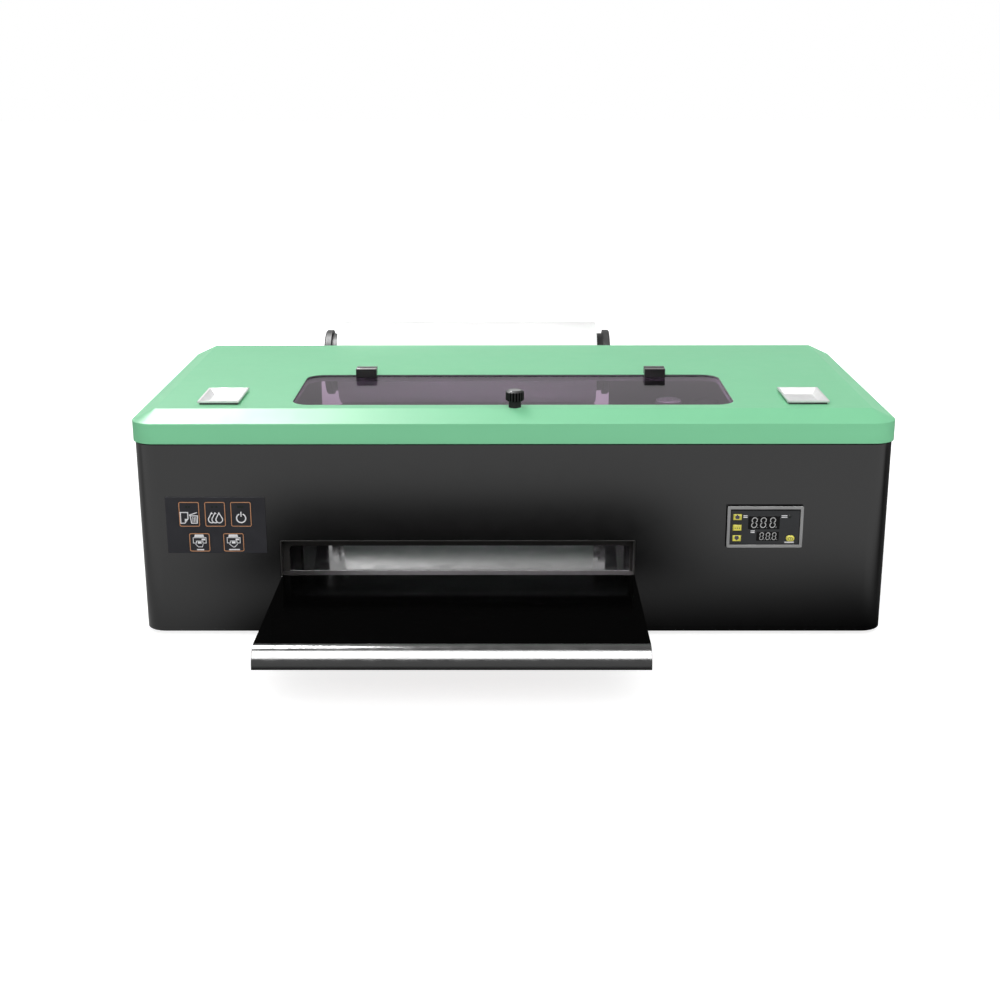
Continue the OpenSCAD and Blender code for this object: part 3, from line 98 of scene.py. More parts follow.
def camera_axes():
    """Right, up and forward directions of the camera."""
    forward = Vector((
        -math.sin(CAMERA_YAW) * math.cos(CAMERA_PITCH),
        math.cos(CAMERA_YAW) * math.cos(CAMERA_PITCH),
        -math.sin(CAMERA_PITCH),
    ))
    level = Vector((math.cos(CAMERA_YAW), math.sin(CAMERA_YAW), 0))
    upright = level.cross(forward)
    right = level * math.cos(CAMERA_ROLL) + upright * math.sin(CAMERA_ROLL)
    up = -level * math.sin(CAMERA_ROLL) + upright * math.cos(CAMERA_ROLL)
    return right, up, forward


def add_camera():
    right, up, forward = camera_axes()
    data = bpy.data.cameras.new("camera")
    data.lens = CAMERA_LENS
    data.sensor_width = SENSOR
    data.sensor_fit = "AUTO"
    data.clip_start = 0.05
    data.clip_end = 50
    camera = bpy.data.objects.new("camera", data)
    bpy.context.scene.collection.objects.link(camera)
    turn = Matrix((right, up, -forward)).transposed().to_4x4()
    camera.matrix_world = Matrix.Translation(CAMERA_AT) @ turn
    bpy.context.scene.camera = camera


def to_image(point):
    """Where a point of the part shows in the image, in pixels."""
    right, up, forward = camera_axes()
    away = Vector(point) - CAMERA_AT
    scale = FOCAL / away.dot(forward)
    return IMAGE_SIZE / 2 + away.dot(right) * scale, IMAGE_SIZE / 2 - away.dot(up) * scale


def ray_through(x, y):
    """Direction from the camera through an image point."""
    right, up, forward = camera_axes()
    across, above = x - IMAGE_SIZE / 2, IMAGE_SIZE / 2 - y
    return (across * right + above * up + FOCAL * forward).normalized()


def points_of(node):
    return [v.co for v in NODES[node].data.vertices]


def tree_of(node):
    """A search tree over the faces of a CAD node."""
    faces = [list(p.vertices) for p in NODES[node].data.polygons]
    return BVHTree.FromPolygons(points_of(node), faces)


def surface_at(name, node):
    """The place where the ray through a named image point meets a CAD node."""
    tree, ray = tree_of(node), ray_through(*IMAGE_POINTS[name])
    hit = tree.ray_cast(CAMERA_AT, ray)[0]
    if hit is None:
        nearest = min(points_of(node), key=lambda p: (p - CAMERA_AT).cross(ray).length)
        hit = tree.find_nearest(nearest)[0]
    return hit


# ---------- materials ----------

# Every finish by its name
FINISHES = {}


def grey(value):
    return value, value, value


class Shading:
    """Short names for wiring the nodes of a material or of the world."""

    def __init__(self, tree):
        self.tree = tree

    def wire(self, socket, value):
        """Give an input a value, or link an output to it."""
        if isinstance(value, bpy.types.NodeSocket):
            self.tree.links.new(value, socket)
        else:
            socket.default_value = value

    def node(self, kind, inputs=(), **settings):
        """A new node's outputs; its inputs are given by name, or as a list in their order."""
        made = self.tree.nodes.new(kind)
        for name, value in settings.items():
            setattr(made, name, value)
        for place, value in inputs.items() if isinstance(inputs, dict) else enumerate(inputs):
            self.wire(made.inputs[place], value)
        return made.outputs

    def maths(self, operation, *values):
        return self.node("ShaderNodeMath", values, operation=operation)[0]

    def glow(self, strength):
        return self.node("ShaderNodeEmission", {"Strength": strength})[0]

    def seen_by(self, *rays):
        """1 for the kinds of ray named, and 0 for the rest."""
        path = self.node("ShaderNodeLightPath")
        total = path[rays[0]]
        for ray in rays[1:]:
            total = self.maths("MAXIMUM", total, path[ray])
        return total


class Finish(Shading):
    """One procedural material: a principled shader with the nodes that vary it."""

    def __init__(self, name, colour, roughness, metallic=0.0, specular=0.5, edge=0.0005):
        self.material = bpy.data.materials.new(name)
        self.material.use_nodes = True
        super().__init__(self.material.node_tree)
        self.shader = self.tree.nodes["Principled BSDF"]
        self.set("Base Color", (*colour, 1))
        self.set("Roughness", roughness)
        self.set("Metallic", metallic)
        self.set("Specular IOR Level", specular)
        self.colour = colour
        self.normal = None
        self.place = self.node("ShaderNodeTexCoord")["Object"]
        if edge:
            self.normal = self.node("ShaderNodeBevel", {"Radius": edge}, samples=4)["Normal"]
            self.set("Normal", self.normal)
        FINISHES[name] = self

    def set(self, socket, value):
        """Give the shader a value, or link an output to it."""
        self.wire(self.shader.inputs[socket], value)
        return self

    def mapped(self, **inputs):
        """The object's own coordinates, moved or scaled."""
        return self.node("ShaderNodeMapping", {"Vector": self.place, **inputs})["Vector"]

    def noise(self, scale, detail=3.0, stretch=None):
        place = self.mapped(Scale=stretch) if stretch else self.place
        inputs = {"Vector": place, "Scale": scale, "Detail": detail}
        return self.node("ShaderNodeTexNoise", inputs)["Fac"]

    def ramp(self, factor, low, high, start=0.35, end=0.65):
        """A colour or a grey between two values as factor goes from start to end."""
        node = self.tree.nodes.new("ShaderNodeValToRGB")
        for element, place, value in zip(node.color_ramp.elements, (start, end), (low, high)):
            element.position = place
            element.color = (*(value if isinstance(value, tuple) else grey(value)), 1)
        self.wire(node.inputs["Fac"], factor)
        return node.outputs["Color"]

    def bump(self, height, strength, distance):
        inputs = {"Height": height, "Strength": strength, "Distance": distance}
        if self.normal:
            inputs["Normal"] = self.normal
        self.normal = self.node("ShaderNodeBump", inputs)["Normal"]
        return self.set("Normal", self.normal)

    def mottled(self, scale, spread):
        """Slight change of colour from place to place."""
        low = tuple(c * (1 - spread) for c in self.colour)
        high = tuple(min(1, c * (1 + spread)) for c in self.colour)
        return self.set("Base Color", self.ramp(self.noise(scale), low, high))

    def worn(self, scale, low, high, stretch=None):
        """Roughness that changes from place to place."""
        return self.set("Roughness", self.ramp(self.noise(scale, 4, stretch), low, high))


def powder_coat(name, colour, roughness, grain=0.25, specular=0.5, edge=0.0008, patches=0.04):
    """Baked paint on sheet steel, with a fine orange-peel grain."""
    finish = Finish(name, colour, roughness, specular=specular, edge=edge)
    finish.mottled(9, patches / 2)
    finish.worn(60, roughness - patches, roughness + patches)
    return finish.bump(finish.noise(1400, 2), grain, 0.0001)


def moulded(name, colour, roughness, grain=0.15, scale=1800, specular=0.5):
    """Moulded plastic with a spark-eroded grain."""
    finish = Finish(name, colour, roughness, specular=specular)
    finish.mottled(40, 0.08)
    finish.worn(120, roughness - 0.05, roughness + 0.05)
    return finish.bump(finish.noise(scale, 2), grain, 0.00008)


def rolled_steel(name, colour, roughness, along=(1, 14, 14)):
    """Plated or brushed metal with fine lines along one axis."""
    finish = Finish(name, colour, roughness, metallic=1.0, edge=0.0004)
    finish.mottled(25, 0.1)
    finish.worn(160, roughness - 0.07, roughness + 0.07, along)
    return finish.bump(finish.noise(320, 3, along), 0.12, 0.00006)


def rubber(name, colour, roughness=0.8, specular=0.3):
    finish = Finish(name, colour, roughness, specular=specular)
    finish.mottled(60, 0.15)
    return finish.bump(finish.noise(900, 3), 0.3, 0.0001)


def print_ink(name, colour, roughness=0.5, specular=0.5):
    """Screen-printed ink on a flat face."""
    finish = Finish(name, colour, roughness, specular=specular, edge=0)
    finish.mottled(300, 0.06)
    return finish.worn(500, roughness - 0.06, roughness + 0.06)


def film(name):
    """White matt film, slightly translucent, with faint lines along its winding."""
    finish = Finish(name, (0.86, 0.86, 0.855), 0.5, specular=0.3)
    finish.worn(40, 0.42, 0.58)
    finish.set("Subsurface Weight", 0.1)
    finish.set("Subsurface Radius", grey(0.002))
    return finish.bump(finish.noise(260, 2, (6, 1, 1)), 0.05, 0.00005)


def wound_film(name, axis_y, axis_z):
    """Film with the edges of its turns showing as fine rings on the ends of the roll."""
    finish = film(name)
    inputs = {"Vector": finish.mapped(Location=(0, -axis_y, -axis_z)),
              "Scale": 380, "Distortion": 2.5, "Detail Scale": 0.4}
    turns = finish.node("ShaderNodeTexWave", inputs, wave_type="RINGS", rings_direction="X")["Fac"]
    finish.set("Base Color", finish.ramp(turns, (0.7, 0.7, 0.69), (0.88, 0.88, 0.875), 0.0, 0.6))
    return finish.bump(turns, 0.2, 0.0002)


def acrylic(name):
    """Tinted clear sheet."""
    finish = Finish(name, (0.34, 0.24, 0.35), 0.0, edge=0)
    finish.set("IOR", 1.075)
    finish.set("Specular Tint", (1.0, 0.88, 1.0, 1))
    finish.set("Transmission Weight", 1.0)
    return finish.worn(30, 0.0, 0.015)


powder_coat("case_paint", (0.0015, 0.0015, 0.0016), 0.17, 0.08, 0.64, patches=0.008)
powder_coat("back_paint", (0.022, 0.022, 0.023), 0.42)
powder_coat("hood_paint", (0.25, 0.685, 0.385), 0.42, 0.14, 0.045, 0.001, 0.02)
powder_coat("tray_coat", grey(0.0012), 0.12, 0.02, 0.008, patches=0.006)
powder_coat("platen_gloss", grey(0.012), 0.06, 0.02, 1.0).set("Coat Weight", 0.2)
powder_coat("frame_paint", grey(0.005), 0.5, specular=0.1)
powder_coat("hinge_black", grey(0.006), 0.34, 0.06, 0.35)
powder_coat("nose_metal", grey(0.02), 0.15, 0.4)
Finish("knob_black", grey(0.022), 0.55, specular=0.05, edge=0.0002).worn(120, 0.5, 0.6)
Finish("knob_gloss", grey(0.02), 0.14, specular=0.9, edge=0)
rolled_steel("zinc", (0.5, 0.51, 0.53), 0.38)
rolled_steel("dull_zinc", (0.36, 0.37, 0.38), 0.5)
rolled_steel("ground_steel", (0.62, 0.62, 0.63), 0.16, (30, 1, 1))
rolled_steel("machined", (0.68, 0.68, 0.7), 0.3, (1, 1, 8))
rubber("gasket_rubber", grey(0.045))
rubber("belt_rubber", (0.02, 0.02, 0.021))
rubber("roller_rubber", (0.05, 0.05, 0.052))
rubber("foot_rubber", grey(0.02))
rubber("seal_foam", (0.05, 0.05, 0.052))
rubber("mat_silicone", (0.42, 0.08, 0.035))
rubber("soft_key", (0.74, 0.68, 0.1), 0.5)
# Black with no gloss, for the pieces of painted shade and painted shadow
rubber("painted_shade_black", grey(0.002), specular=0.0)
moulded("bezel_plastic", (0.02, 0.019, 0.018), 0.45, 0.8, 900, 0.12)
moulded("pull_plastic", grey(0.62), 0.34, 0.05)
moulded("black_plastic", (0.022, 0.022, 0.024), 0.45)
moulded("dark_plastic", (0.045, 0.045, 0.048), 0.5)
moulded("flange_plastic", grey(0.018), 0.45, specular=0.1)
moulded("tank_plastic", (0.02, 0.02, 0.021), 0.4)
moulded("waste_plastic", (0.55, 0.56, 0.55), 0.45).set("Subsurface Weight", 0.2)
moulded("cap_white", (0.8, 0.8, 0.79), 0.32)
moulded("board_green", (0.018, 0.1, 0.04), 0.3, 0.1)
moulded("overlay_film", (0.02, 0.02, 0.024), 0.5, 0.2, specular=0.15)
moulded("key_film", (0.02, 0.02, 0.024), 0.46, 0.2, specular=0.15)
moulded("controller_grey", grey(0.27), 0.42)
moulded("controller_face", (0.02, 0.0215, 0.0235), 0.34, 0.05, specular=0.3)
moulded("display_glass", grey(0.004), 0.12, 0.02, specular=0.1)
moulded("chip_black", (0.015, 0.015, 0.016), 0.4)
moulded("capacitor_sleeve", (0.02, 0.03, 0.09), 0.3)
moulded("connector_white", (0.75, 0.74, 0.68), 0.42)
moulded("rocker_red", (0.5, 0.02, 0.015), 0.22, 0.03)
print_ink("copper_ink", (0.56, 0.26, 0.12), 0.4)
print_ink("light_ink", (0.8, 0.8, 0.82))
print_ink("digit_ink", grey(0.48))
print_ink("key_ink", (0.03, 0.03, 0.06))
print_ink("lamp_dark", (0.01, 0.014, 0.011), 0.4, 0.15)
INKS = {
    "white": (0.8, 0.8, 0.79), "black": (0.012, 0.012, 0.013), "cyan": (0.0, 0.27, 0.62),
    "magenta": (0.62, 0.01, 0.2), "yellow": (0.85, 0.62, 0.01),
}
for ink, ink_colour in INKS.items():
    moulded(f"ink_{ink}", ink_colour, 0.35)
film("film_white")
wound_film("roll_film", *((a + b) / 2 for a, b in list(zip(*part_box("spindle")))[1:]))
acrylic("acrylic")

NODES_OF_FINISH = {
    "case_paint": "case_shell", "back_paint": "back_panel roll_brackets",
    "hood_paint": "hood_shell", "tray_coat": "heater_tray", "platen_gloss": "platen",
    "frame_paint": "side_frames", "hinge_black": "lid_hinge_bases lid_hinge_clamps",
    "nose_metal": "tray_nose", "knob_black": "latch_knob",
    "zinc": "carriage_rail power_supply case_hinges hood_hinges",
    "dull_zinc": "base_plate tray_brackets pinch_holder print_head",
    "ground_steel": "guide_shaft spindle",
    "machined": "feed_motor_pulley drive_pulley idler_pulley",
    "gasket_rubber": "pull_gaskets", "belt_rubber": "drive_belts",
    "roller_rubber": "feed_roller pinch_rollers", "foot_rubber": "feet",
    "mat_silicone": "heater_mat",
    "soft_key": "thermostat_up thermostat_set thermostat_down thermostat_restart",
    "bezel_plastic": "slot_bezel", "pull_plastic": "pull_cups",
    "black_plastic": "drive_motors rear_sockets fan_frame lid_catch carriage",
    "dark_plastic": "capping_station fan_rotor", "flange_plastic": "roll_flanges",
    "tank_plastic": "ink_tanks", "waste_plastic": "waste_tank", "cap_white": "white_ink_cap",
    "board_green": "circuit_boards", "overlay_film": "key_panel",
    "key_film": "key_eject key_ink key_power key_back key_enter",
    "controller_grey": "thermostat_case", "controller_face": "thermostat_face",
    "rocker_red": "power_rocker", "film_white": "film_web", "roll_film": "film_roll",
    "acrylic": "window_lid",
}


def dress_nodes():
    for finish, nodes in NODES_OF_FINISH.items():
        for name in nodes.split():
            mesh = NODES[name].data
            mesh.materials.clear()
            mesh.materials.append(FINISHES[finish].material)


# ---------- building pieces ----------

# Points closer than this to a flat face, in metres, belong to it
FLAT = 0.05 * MM
UP, DOWN, BACK, FRONT = (0, 0, 1), (0, 0, -1), (0, 1, 0), (0, -1, 0)


def add_piece(name, mesh_parts, finish, body, slot):
    """Turn a bmesh into a piece that rides on a body. The slot argument is not used."""
    bmesh.ops.recalc_face_normals(mesh_parts, faces=mesh_parts.faces)
    mesh = bpy.data.meshes.new(name)
    mesh_parts.to_mesh(mesh)
    mesh_parts.free()
    mesh.materials.append(FINISHES[finish].material)
    piece = bpy.data.objects.new(name, mesh)
    bpy.context.scene.collection.objects.link(piece)
    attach(piece, body)


def box_of(node):
    """Lowest and highest corners of a CAD node."""
    return [Vector(corner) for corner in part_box(node)]


def half_size(low, high):
    """Half the width and half the height of a box's front, in mm."""
    return (high.x - low.x) / 2 / MM, (high.z - low.z) / 2 / MM


def solids(node):
    """Boxes of the separate solids in a CAD node, from left to right."""
    mesh = NODES[node].data
    owner = list(range(len(mesh.vertices)))

    def root(i):
        while owner[i] != i:
            owner[i] = owner[owner[i]]
            i = owner[i]
        return i

    first_at = {}
    for vertex in mesh.vertices:
        spot = tuple(round(c, 6) for c in vertex.co)
        owner[root(vertex.index)] = root(first_at.setdefault(spot, vertex.index))
    for edge in mesh.edges:
        a, b = edge.vertices
        owner[root(a)] = root(b)
    groups = {}
    for vertex in mesh.vertices:
        groups.setdefault(root(vertex.index), []).append(vertex.co)
    boxes = [[Vector(end(v[i] for v in group) for i in range(3)) for end in (min, max)]
             for group in groups.values()]
    return sorted(boxes, key=lambda box: box[0].x)


def front_face(node):
    """Lowest and highest corners of the flat face that a node shows to the front."""
    points = points_of(node)
    front = min(p.y for p in points)
    face = [p for p in points if p.y < front + FLAT]
    return (Vector((min(p.x for p in face), front, min(p.z for p in face))),
            Vector((max(p.x for p in face), front, max(p.z for p in face))))


def arc(middle, radius, start, end, steps):
    """Points along an arc in degrees, counter-clockwise from +X."""
    turns = [math.radians(start + (end - start) * i / steps) for i in range(steps + 1)]
    return [(middle[0] + radius * math.cos(t), middle[1] + radius * math.sin(t)) for t in turns]


def rounded_box(low, high, radius, steps=5):
    """Outline of a rectangle with round corners."""
    (x0, y0), (x1, y1) = low, high
    corners = [((x1 - radius, y1 - radius), 0), ((x0 + radius, y1 - radius), 90),
               ((x0 + radius, y0 + radius), 180), ((x1 - radius, y0 + radius), 270)]
    return [p for middle, turn in corners for p in arc(middle, radius, turn, turn + 90, steps)]


class Print:
    """Flat marks on a face that looks to the front, in mm from the place given."""

    def __init__(self, place):
        self.mesh = bmesh.new()
        self.place = Vector(place)

    def point(self, spot):
        return self.mesh.verts.new(self.place + Vector((spot[0] * MM, 0, spot[1] * MM)))

    def fill(self, outline):
        self.mesh.faces.new([self.point(p) for p in outline])
        return self

    def stroke(self, path, width, closed=False):
        """A line of even width along a path."""
        count = len(path)
        sides = []
        for i, (x, y) in enumerate(path):
            before = path[(i - 1) % count] if closed or i else None
            after = path[(i + 1) % count] if closed or i < count - 1 else None
            normals = []
            for start, end in ((before, (x, y)), ((x, y), after)):
                if start and end:
                    along = Vector((end[0] - start[0], end[1] - start[1])).normalized()
                    normals.append(Vector((-along.y, along.x)))
            normal = sum(normals, Vector((0, 0))).normalized()
            reach = width / 2 / max(0.5, normal.dot(normals[0]))
            sides.append((self.point((x + normal.x * reach, y + normal.y * reach)),
                          self.point((x - normal.x * reach, y - normal.y * reach))))
        pairs = list(zip(sides, sides[1:])) + ([(sides[-1], sides[0])] if closed else [])
        for (a, b), (c, d) in pairs:
            self.mesh.faces.new((a, b, d, c))
        return self

    def piece(self, name, finish, body, slot, thick=0.06):
        """Give the marks their thickness, out of the face."""
        front = bmesh.ops.extrude_face_region(self.mesh, geom=list(self.mesh.faces))["geom"]
        moved = [g for g in front if isinstance(g, bmesh.types.BMVert)]
        bmesh.ops.translate(self.mesh, verts=moved, vec=(0, -thick * MM, 0))
        add_piece(name, self.mesh, finish, body, slot)


def bridge(mesh, rings, closed=True):
    """Faces between each ring of vertices and the next."""
    for one, other in zip(rings, rings[1:]):
        for i in range(len(one) if closed else len(one) - 1):
            j = (i + 1) % len(one)
            mesh.faces.new((one[i], one[j], other[j], other[i]))


def skin(mesh, rings):
    """A closed skin over rings of vertices, with a flat face at each end."""
    bridge(mesh, rings)
    mesh.faces.new(rings[0])
    mesh.faces.new(rings[-1])


def round_rows(mesh, at, axis, rows, segments):
    """Skin over rows of (radius, height) around an axis; a radius may depend on the angle."""
    axis = Vector(axis).normalized()
    side = axis.orthogonal().normalized()
    other = axis.cross(side)
    rings = []
    for radius, height in rows:
        ring = []
        for i in range(segments):
            angle = 2 * math.pi * i / segments
            r = (radius(angle) if callable(radius) else radius) * MM
            spot = Vector(at) + axis * height * MM
            out = side * math.cos(angle) + other * math.sin(angle)
            ring.append(mesh.verts.new(spot + out * r))
        rings.append(ring)
    skin(mesh, rings)


def ribbed(radius, depth, count):
    """Radius of a ribbed round outline at an angle."""
    return lambda angle: radius - depth * (0.5 - 0.5 * math.cos(angle * count))


def cross_recess(arm, half):
    """Radius of a plus-shaped outline at an angle."""
    def radius(angle):
        turn = abs((angle + math.pi / 4) % (math.pi / 2) - math.pi / 4)
        return min(arm, half / max(math.sin(turn), 1e-6))
    return radius


def screws(name, places, axis, r, slot):
    """Pan-head screws with cross recesses, heads only, on the faces that they hold."""
    mesh = bmesh.new()
    for at in places:
        round_rows(mesh, at, axis, [
            (r, 0), (r, 0.25 * r), (0.93 * r, 0.45 * r), (0.75 * r, 0.58 * r), (0.64 * r, 0.62 * r),
            (cross_recess(0.55 * r, 0.13 * r), 0.62 * r),
            (cross_recess(0.42 * r, 0.1 * r), 0.22 * r),
        ], 48)
    add_piece(name, mesh, "zinc", "case", slot)


def block(mesh, low, high, edge=0.25):
    """A box with chamfered edges, in mm, for the small parts of a group."""
    made = bmesh.ops.create_cube(mesh, size=1)["verts"]
    for vertex in made:
        vertex.co = Vector(
            (low[i] + (high[i] - low[i]) * (vertex.co[i] + 0.5)) * MM for i in range(3))
    edges = {e for v in made for e in v.link_edges}
    bmesh.ops.bevel(mesh, geom=list(edges), offset=edge * MM, segments=2, affect="EDGES")


# ---------- key panel ----------

# The copper outline of a key: its inset, corner radius, width and thickness, in mm
OUTLINE_INSET, OUTLINE_RADIUS, OUTLINE_WIDTH, OUTLINE_THICK = 0.4, 1.6, 0.75, 0.12
# Bottom, top and corner radius of a key's lamp windows, in mm from the key's middle
LAMP_FOOT, LAMP_TOP, LAMP_RADIUS = 7.0, 9.2, 0.4


def drop_outline(x, z, size, part):
    """A falling drop, whole or in part, and whether its outline is closed."""
    radius = 3.7 * size
    lean = 35
    full = arc((x, z), radius, lean, -180 - lean, 30)
    tip = (x, z + 7.9 * size)
    if part == 360:
        return [tip] + full, True
    return [(x + 1.1, z + 6.6 * size), tip] + arc((x, z), radius, 180 - lean, 270 + part, 20), False


def page_and_bin(marks):
    page = [(-8.6, 1.8), (-8.6, -9.9), (-4.4, -9.9), (-0.9, -5.2), (-0.9, 1.8)]
    marks.stroke(page, 1.0, closed=True)
    marks.fill([(-4.3, -5.2), (-4.3, -9.5), (-1.3, -5.2)])
    marks.stroke([(1.5, -1.9), (2.6, -9.8), (8.5, -9.8), (9.1, -1.9)], 1.0, closed=True)
    for x in (4.1, 5.7, 7.3):
        marks.stroke([(x, -3.2), (x, -8.6)], 0.7)
    marks.stroke([(0.2, -1.2), (8.8, 1.7)], 1.0)


def three_drops(marks):
    for x, part in ((-4.0, 25), (-0.3, 25), (3.8, 360)):
        path, closed = drop_outline(x, -6.0, 0.94, part)
        marks.stroke(path, 1.05, closed)


def power_sign(marks):
    marks.stroke(arc((0.2, -5.0), 4.75, 112, 428, 40), 1.3)
    marks.stroke([(0.2, 2.0), (0.2, -3.4)], 1.2)


def printer(marks, arrow):
    """A printer seen from the front, with the sheet's arrow below it."""
    marks.fill([(-5.4, 5.6), (-4.6, 8.4), (4.2, 8.4), (5.0, 5.6)])
    marks.stroke([(-6.6, 4.9), (-6.6, -1.0), (-3.4, -1.0), (-3.4, 1.2),
                  (3.4, 1.2), (3.4, -1.0), (6.8, -1.0), (6.8, 4.9)], 0.65, closed=True)
    marks.fill([(2.2, 2.0), (2.2, 3.9), (5.9, 3.9), (5.9, 2.0)])
    marks.stroke(arrow, 0.65)
    marks.fill([(-1.9, 0.6), (-1.9, -1.6), (1.9, -1.6), (1.9, 0.6)])


def exit_mark(marks):
    printer(marks, [(-4.6, -1.9), (-1.6, -5.2), (2.6, -5.2), (3.6, -1.9)])
    marks.stroke([(-3.2, -8.3), (4.2, -8.3)], 1.3)


def enter_mark(marks):
    printer(marks, [(-4.6, -1.9), (-0.6, -5.4), (1.0, -5.4), (4.2, -1.9)])
    marks.stroke([(-5.2, -8.3), (6.2, -8.3)], 1.3)


# Each key's pictogram, the pictogram's middle, and the (middle, width) of its lamp windows, in mm
KEYS = {
    "eject": (page_and_bin, (0.6, -4.0), [(-2.7, 2.1), (0.1, 2.1)]),
    "ink": (three_drops, (0.0, -4.0), [(-2.7, 2.1), (1.8, 2.1)]),
    "power": (power_sign, (0.2, -4.0), [(-0.4, 6.4)]),
    "back": (exit_mark, (0.1, -0.3), []),
    "enter": (enter_mark, (0.1, -0.3), []),
}


def dress_keys():
    """Copper outlines, pictograms and small lamp windows on the five keys."""
    for key, (draw, icon_middle, windows) in KEYS.items():
        low, high = front_face(f"key_{key}")
        body, slot = f"{key}_key", "key_plastic"
        middle = (low + high) / 2
        x, z = (half - OUTLINE_INSET for half in half_size(low, high))
        ring = Print(middle)
        ring.stroke(rounded_box((-x, -z), (x, z), OUTLINE_RADIUS), OUTLINE_WIDTH, closed=True)
        ring.piece(f"{key}_outline", "copper_ink", body, slot, OUTLINE_THICK)
        spot = surface_at(f"{key}_icon", f"key_{key}")
        marks = Print((spot.x - icon_middle[0] * MM, low.y, spot.z - icon_middle[1] * MM))
        draw(marks)
        marks.piece(f"{key}_icon", "light_ink", body, slot)
        if windows:
            lamps = Print(middle)
            for x, width in windows:
                lamps.fill(rounded_box((x - width / 2, LAMP_FOOT), (x + width / 2, LAMP_TOP),
                                       LAMP_RADIUS))
            lamps.piece(f"{key}_lamp_windows", "lamp_dark", body, slot)


# ---------- temperature controller ----------

# Each display's window, digit, stroke width and places of the digits, in mm
DISPLAYS = {
    "upper_display": ((32.6, 14.2), (5.3, 10.6), 0.85, (-10.3, -1.0, 8.7)),
    "lower_display": ((23.2, 10.0), (3.8, 7.6), 0.65, (-6.5, 0.0, 6.5)),
}
DISPLAY_THICK = 0.3
# Sideways lean of the digits, as a share of their height
DIGIT_LEAN = 0.07
# The output lamp's (radius, height) rows in mm
LAMP_ROWS = [(1.5, 0), (1.5, 0.2), (1.1, 0.6), (0.4, 0.8)]
# Double bars in place of words: start, end and height, in mm from the output lamp
DOUBLE_BARS = ((-48.2, -43.9, 0.1), (-8.7, -2.6, 0.1), (-40.1, -35.8, -16.4))
# How far the dark sheet behind the bezel, painted shadow at its top and left, reaches beyond the
# bezel on each side, and its thickness, in mm
BEZEL_SHADOW_LEFT, BEZEL_SHADOW_RIGHT, BEZEL_SHADOW_FOOT, BEZEL_SHADOW_TOP, BEZEL_SHADOW_THICK = 1.3, -0.5, -0.5, 1.6, 0.4
# A short arrow that points up, in mm from the key's middle
ARROW = ((-2.5, 0.2), (0, 2.6), (2.5, 0.2), (1.6, -2.3), (-1.6, -2.3))
# Height of a rubber key's crown, in mm
CROWN = 1.3


def digit_eight(marks, x, width, height, stroke):
    """The seven segments of an unlit figure and its point."""
    def leaning(points):
        return [(x + px + (pz + height / 2) * DIGIT_LEAN, pz) for px, pz in points]

    w, h = width / 2, height / 4
    cut = min(w, h) * 0.62
    for middle in (h, -h):
        top, foot = middle + h, middle - h
        marks.stroke(leaning([
            (-w, top - cut), (-w + cut, top), (w - cut, top), (w, top - cut),
            (w, foot + cut), (w - cut, foot), (-w + cut, foot), (-w, foot + cut),
        ]), stroke, closed=True)
    marks.fill(leaning(arc((width / 2 + 1.3, -height / 2), 0.35, 0, 345, 12)))


def key_cap(node):
    """Crown of a rubber key, drawn in towards its top; gives the top's middle."""
    low, high = front_face(node)
    middle = (low + high) / 2
    face = {(round(p.x, 6), round(p.z, 6)) for p in points_of(node) if p.y < low.y + FLAT}
    face = sorted(face, key=lambda p: math.atan2(p[1] - middle.z, p[0] - middle.x))
    mesh = bmesh.new()
    rings = []
    for share, out in ((0.995, -0.05), (0.97, 0.3 * CROWN), (0.82, 0.95 * CROWN), (0.78, CROWN)):
        rings.append([mesh.verts.new((middle.x + (x - middle.x) * share, low.y - out * MM,
                                      middle.z + (z - middle.z) * share)) for x, z in face])
    skin(mesh, rings)
    name = node.removeprefix("thermostat_")
    add_piece(f"{name}_cap", mesh, "soft_key", f"{name}_key", "soft_key")
    return middle - Vector((0, CROWN * MM, 0))


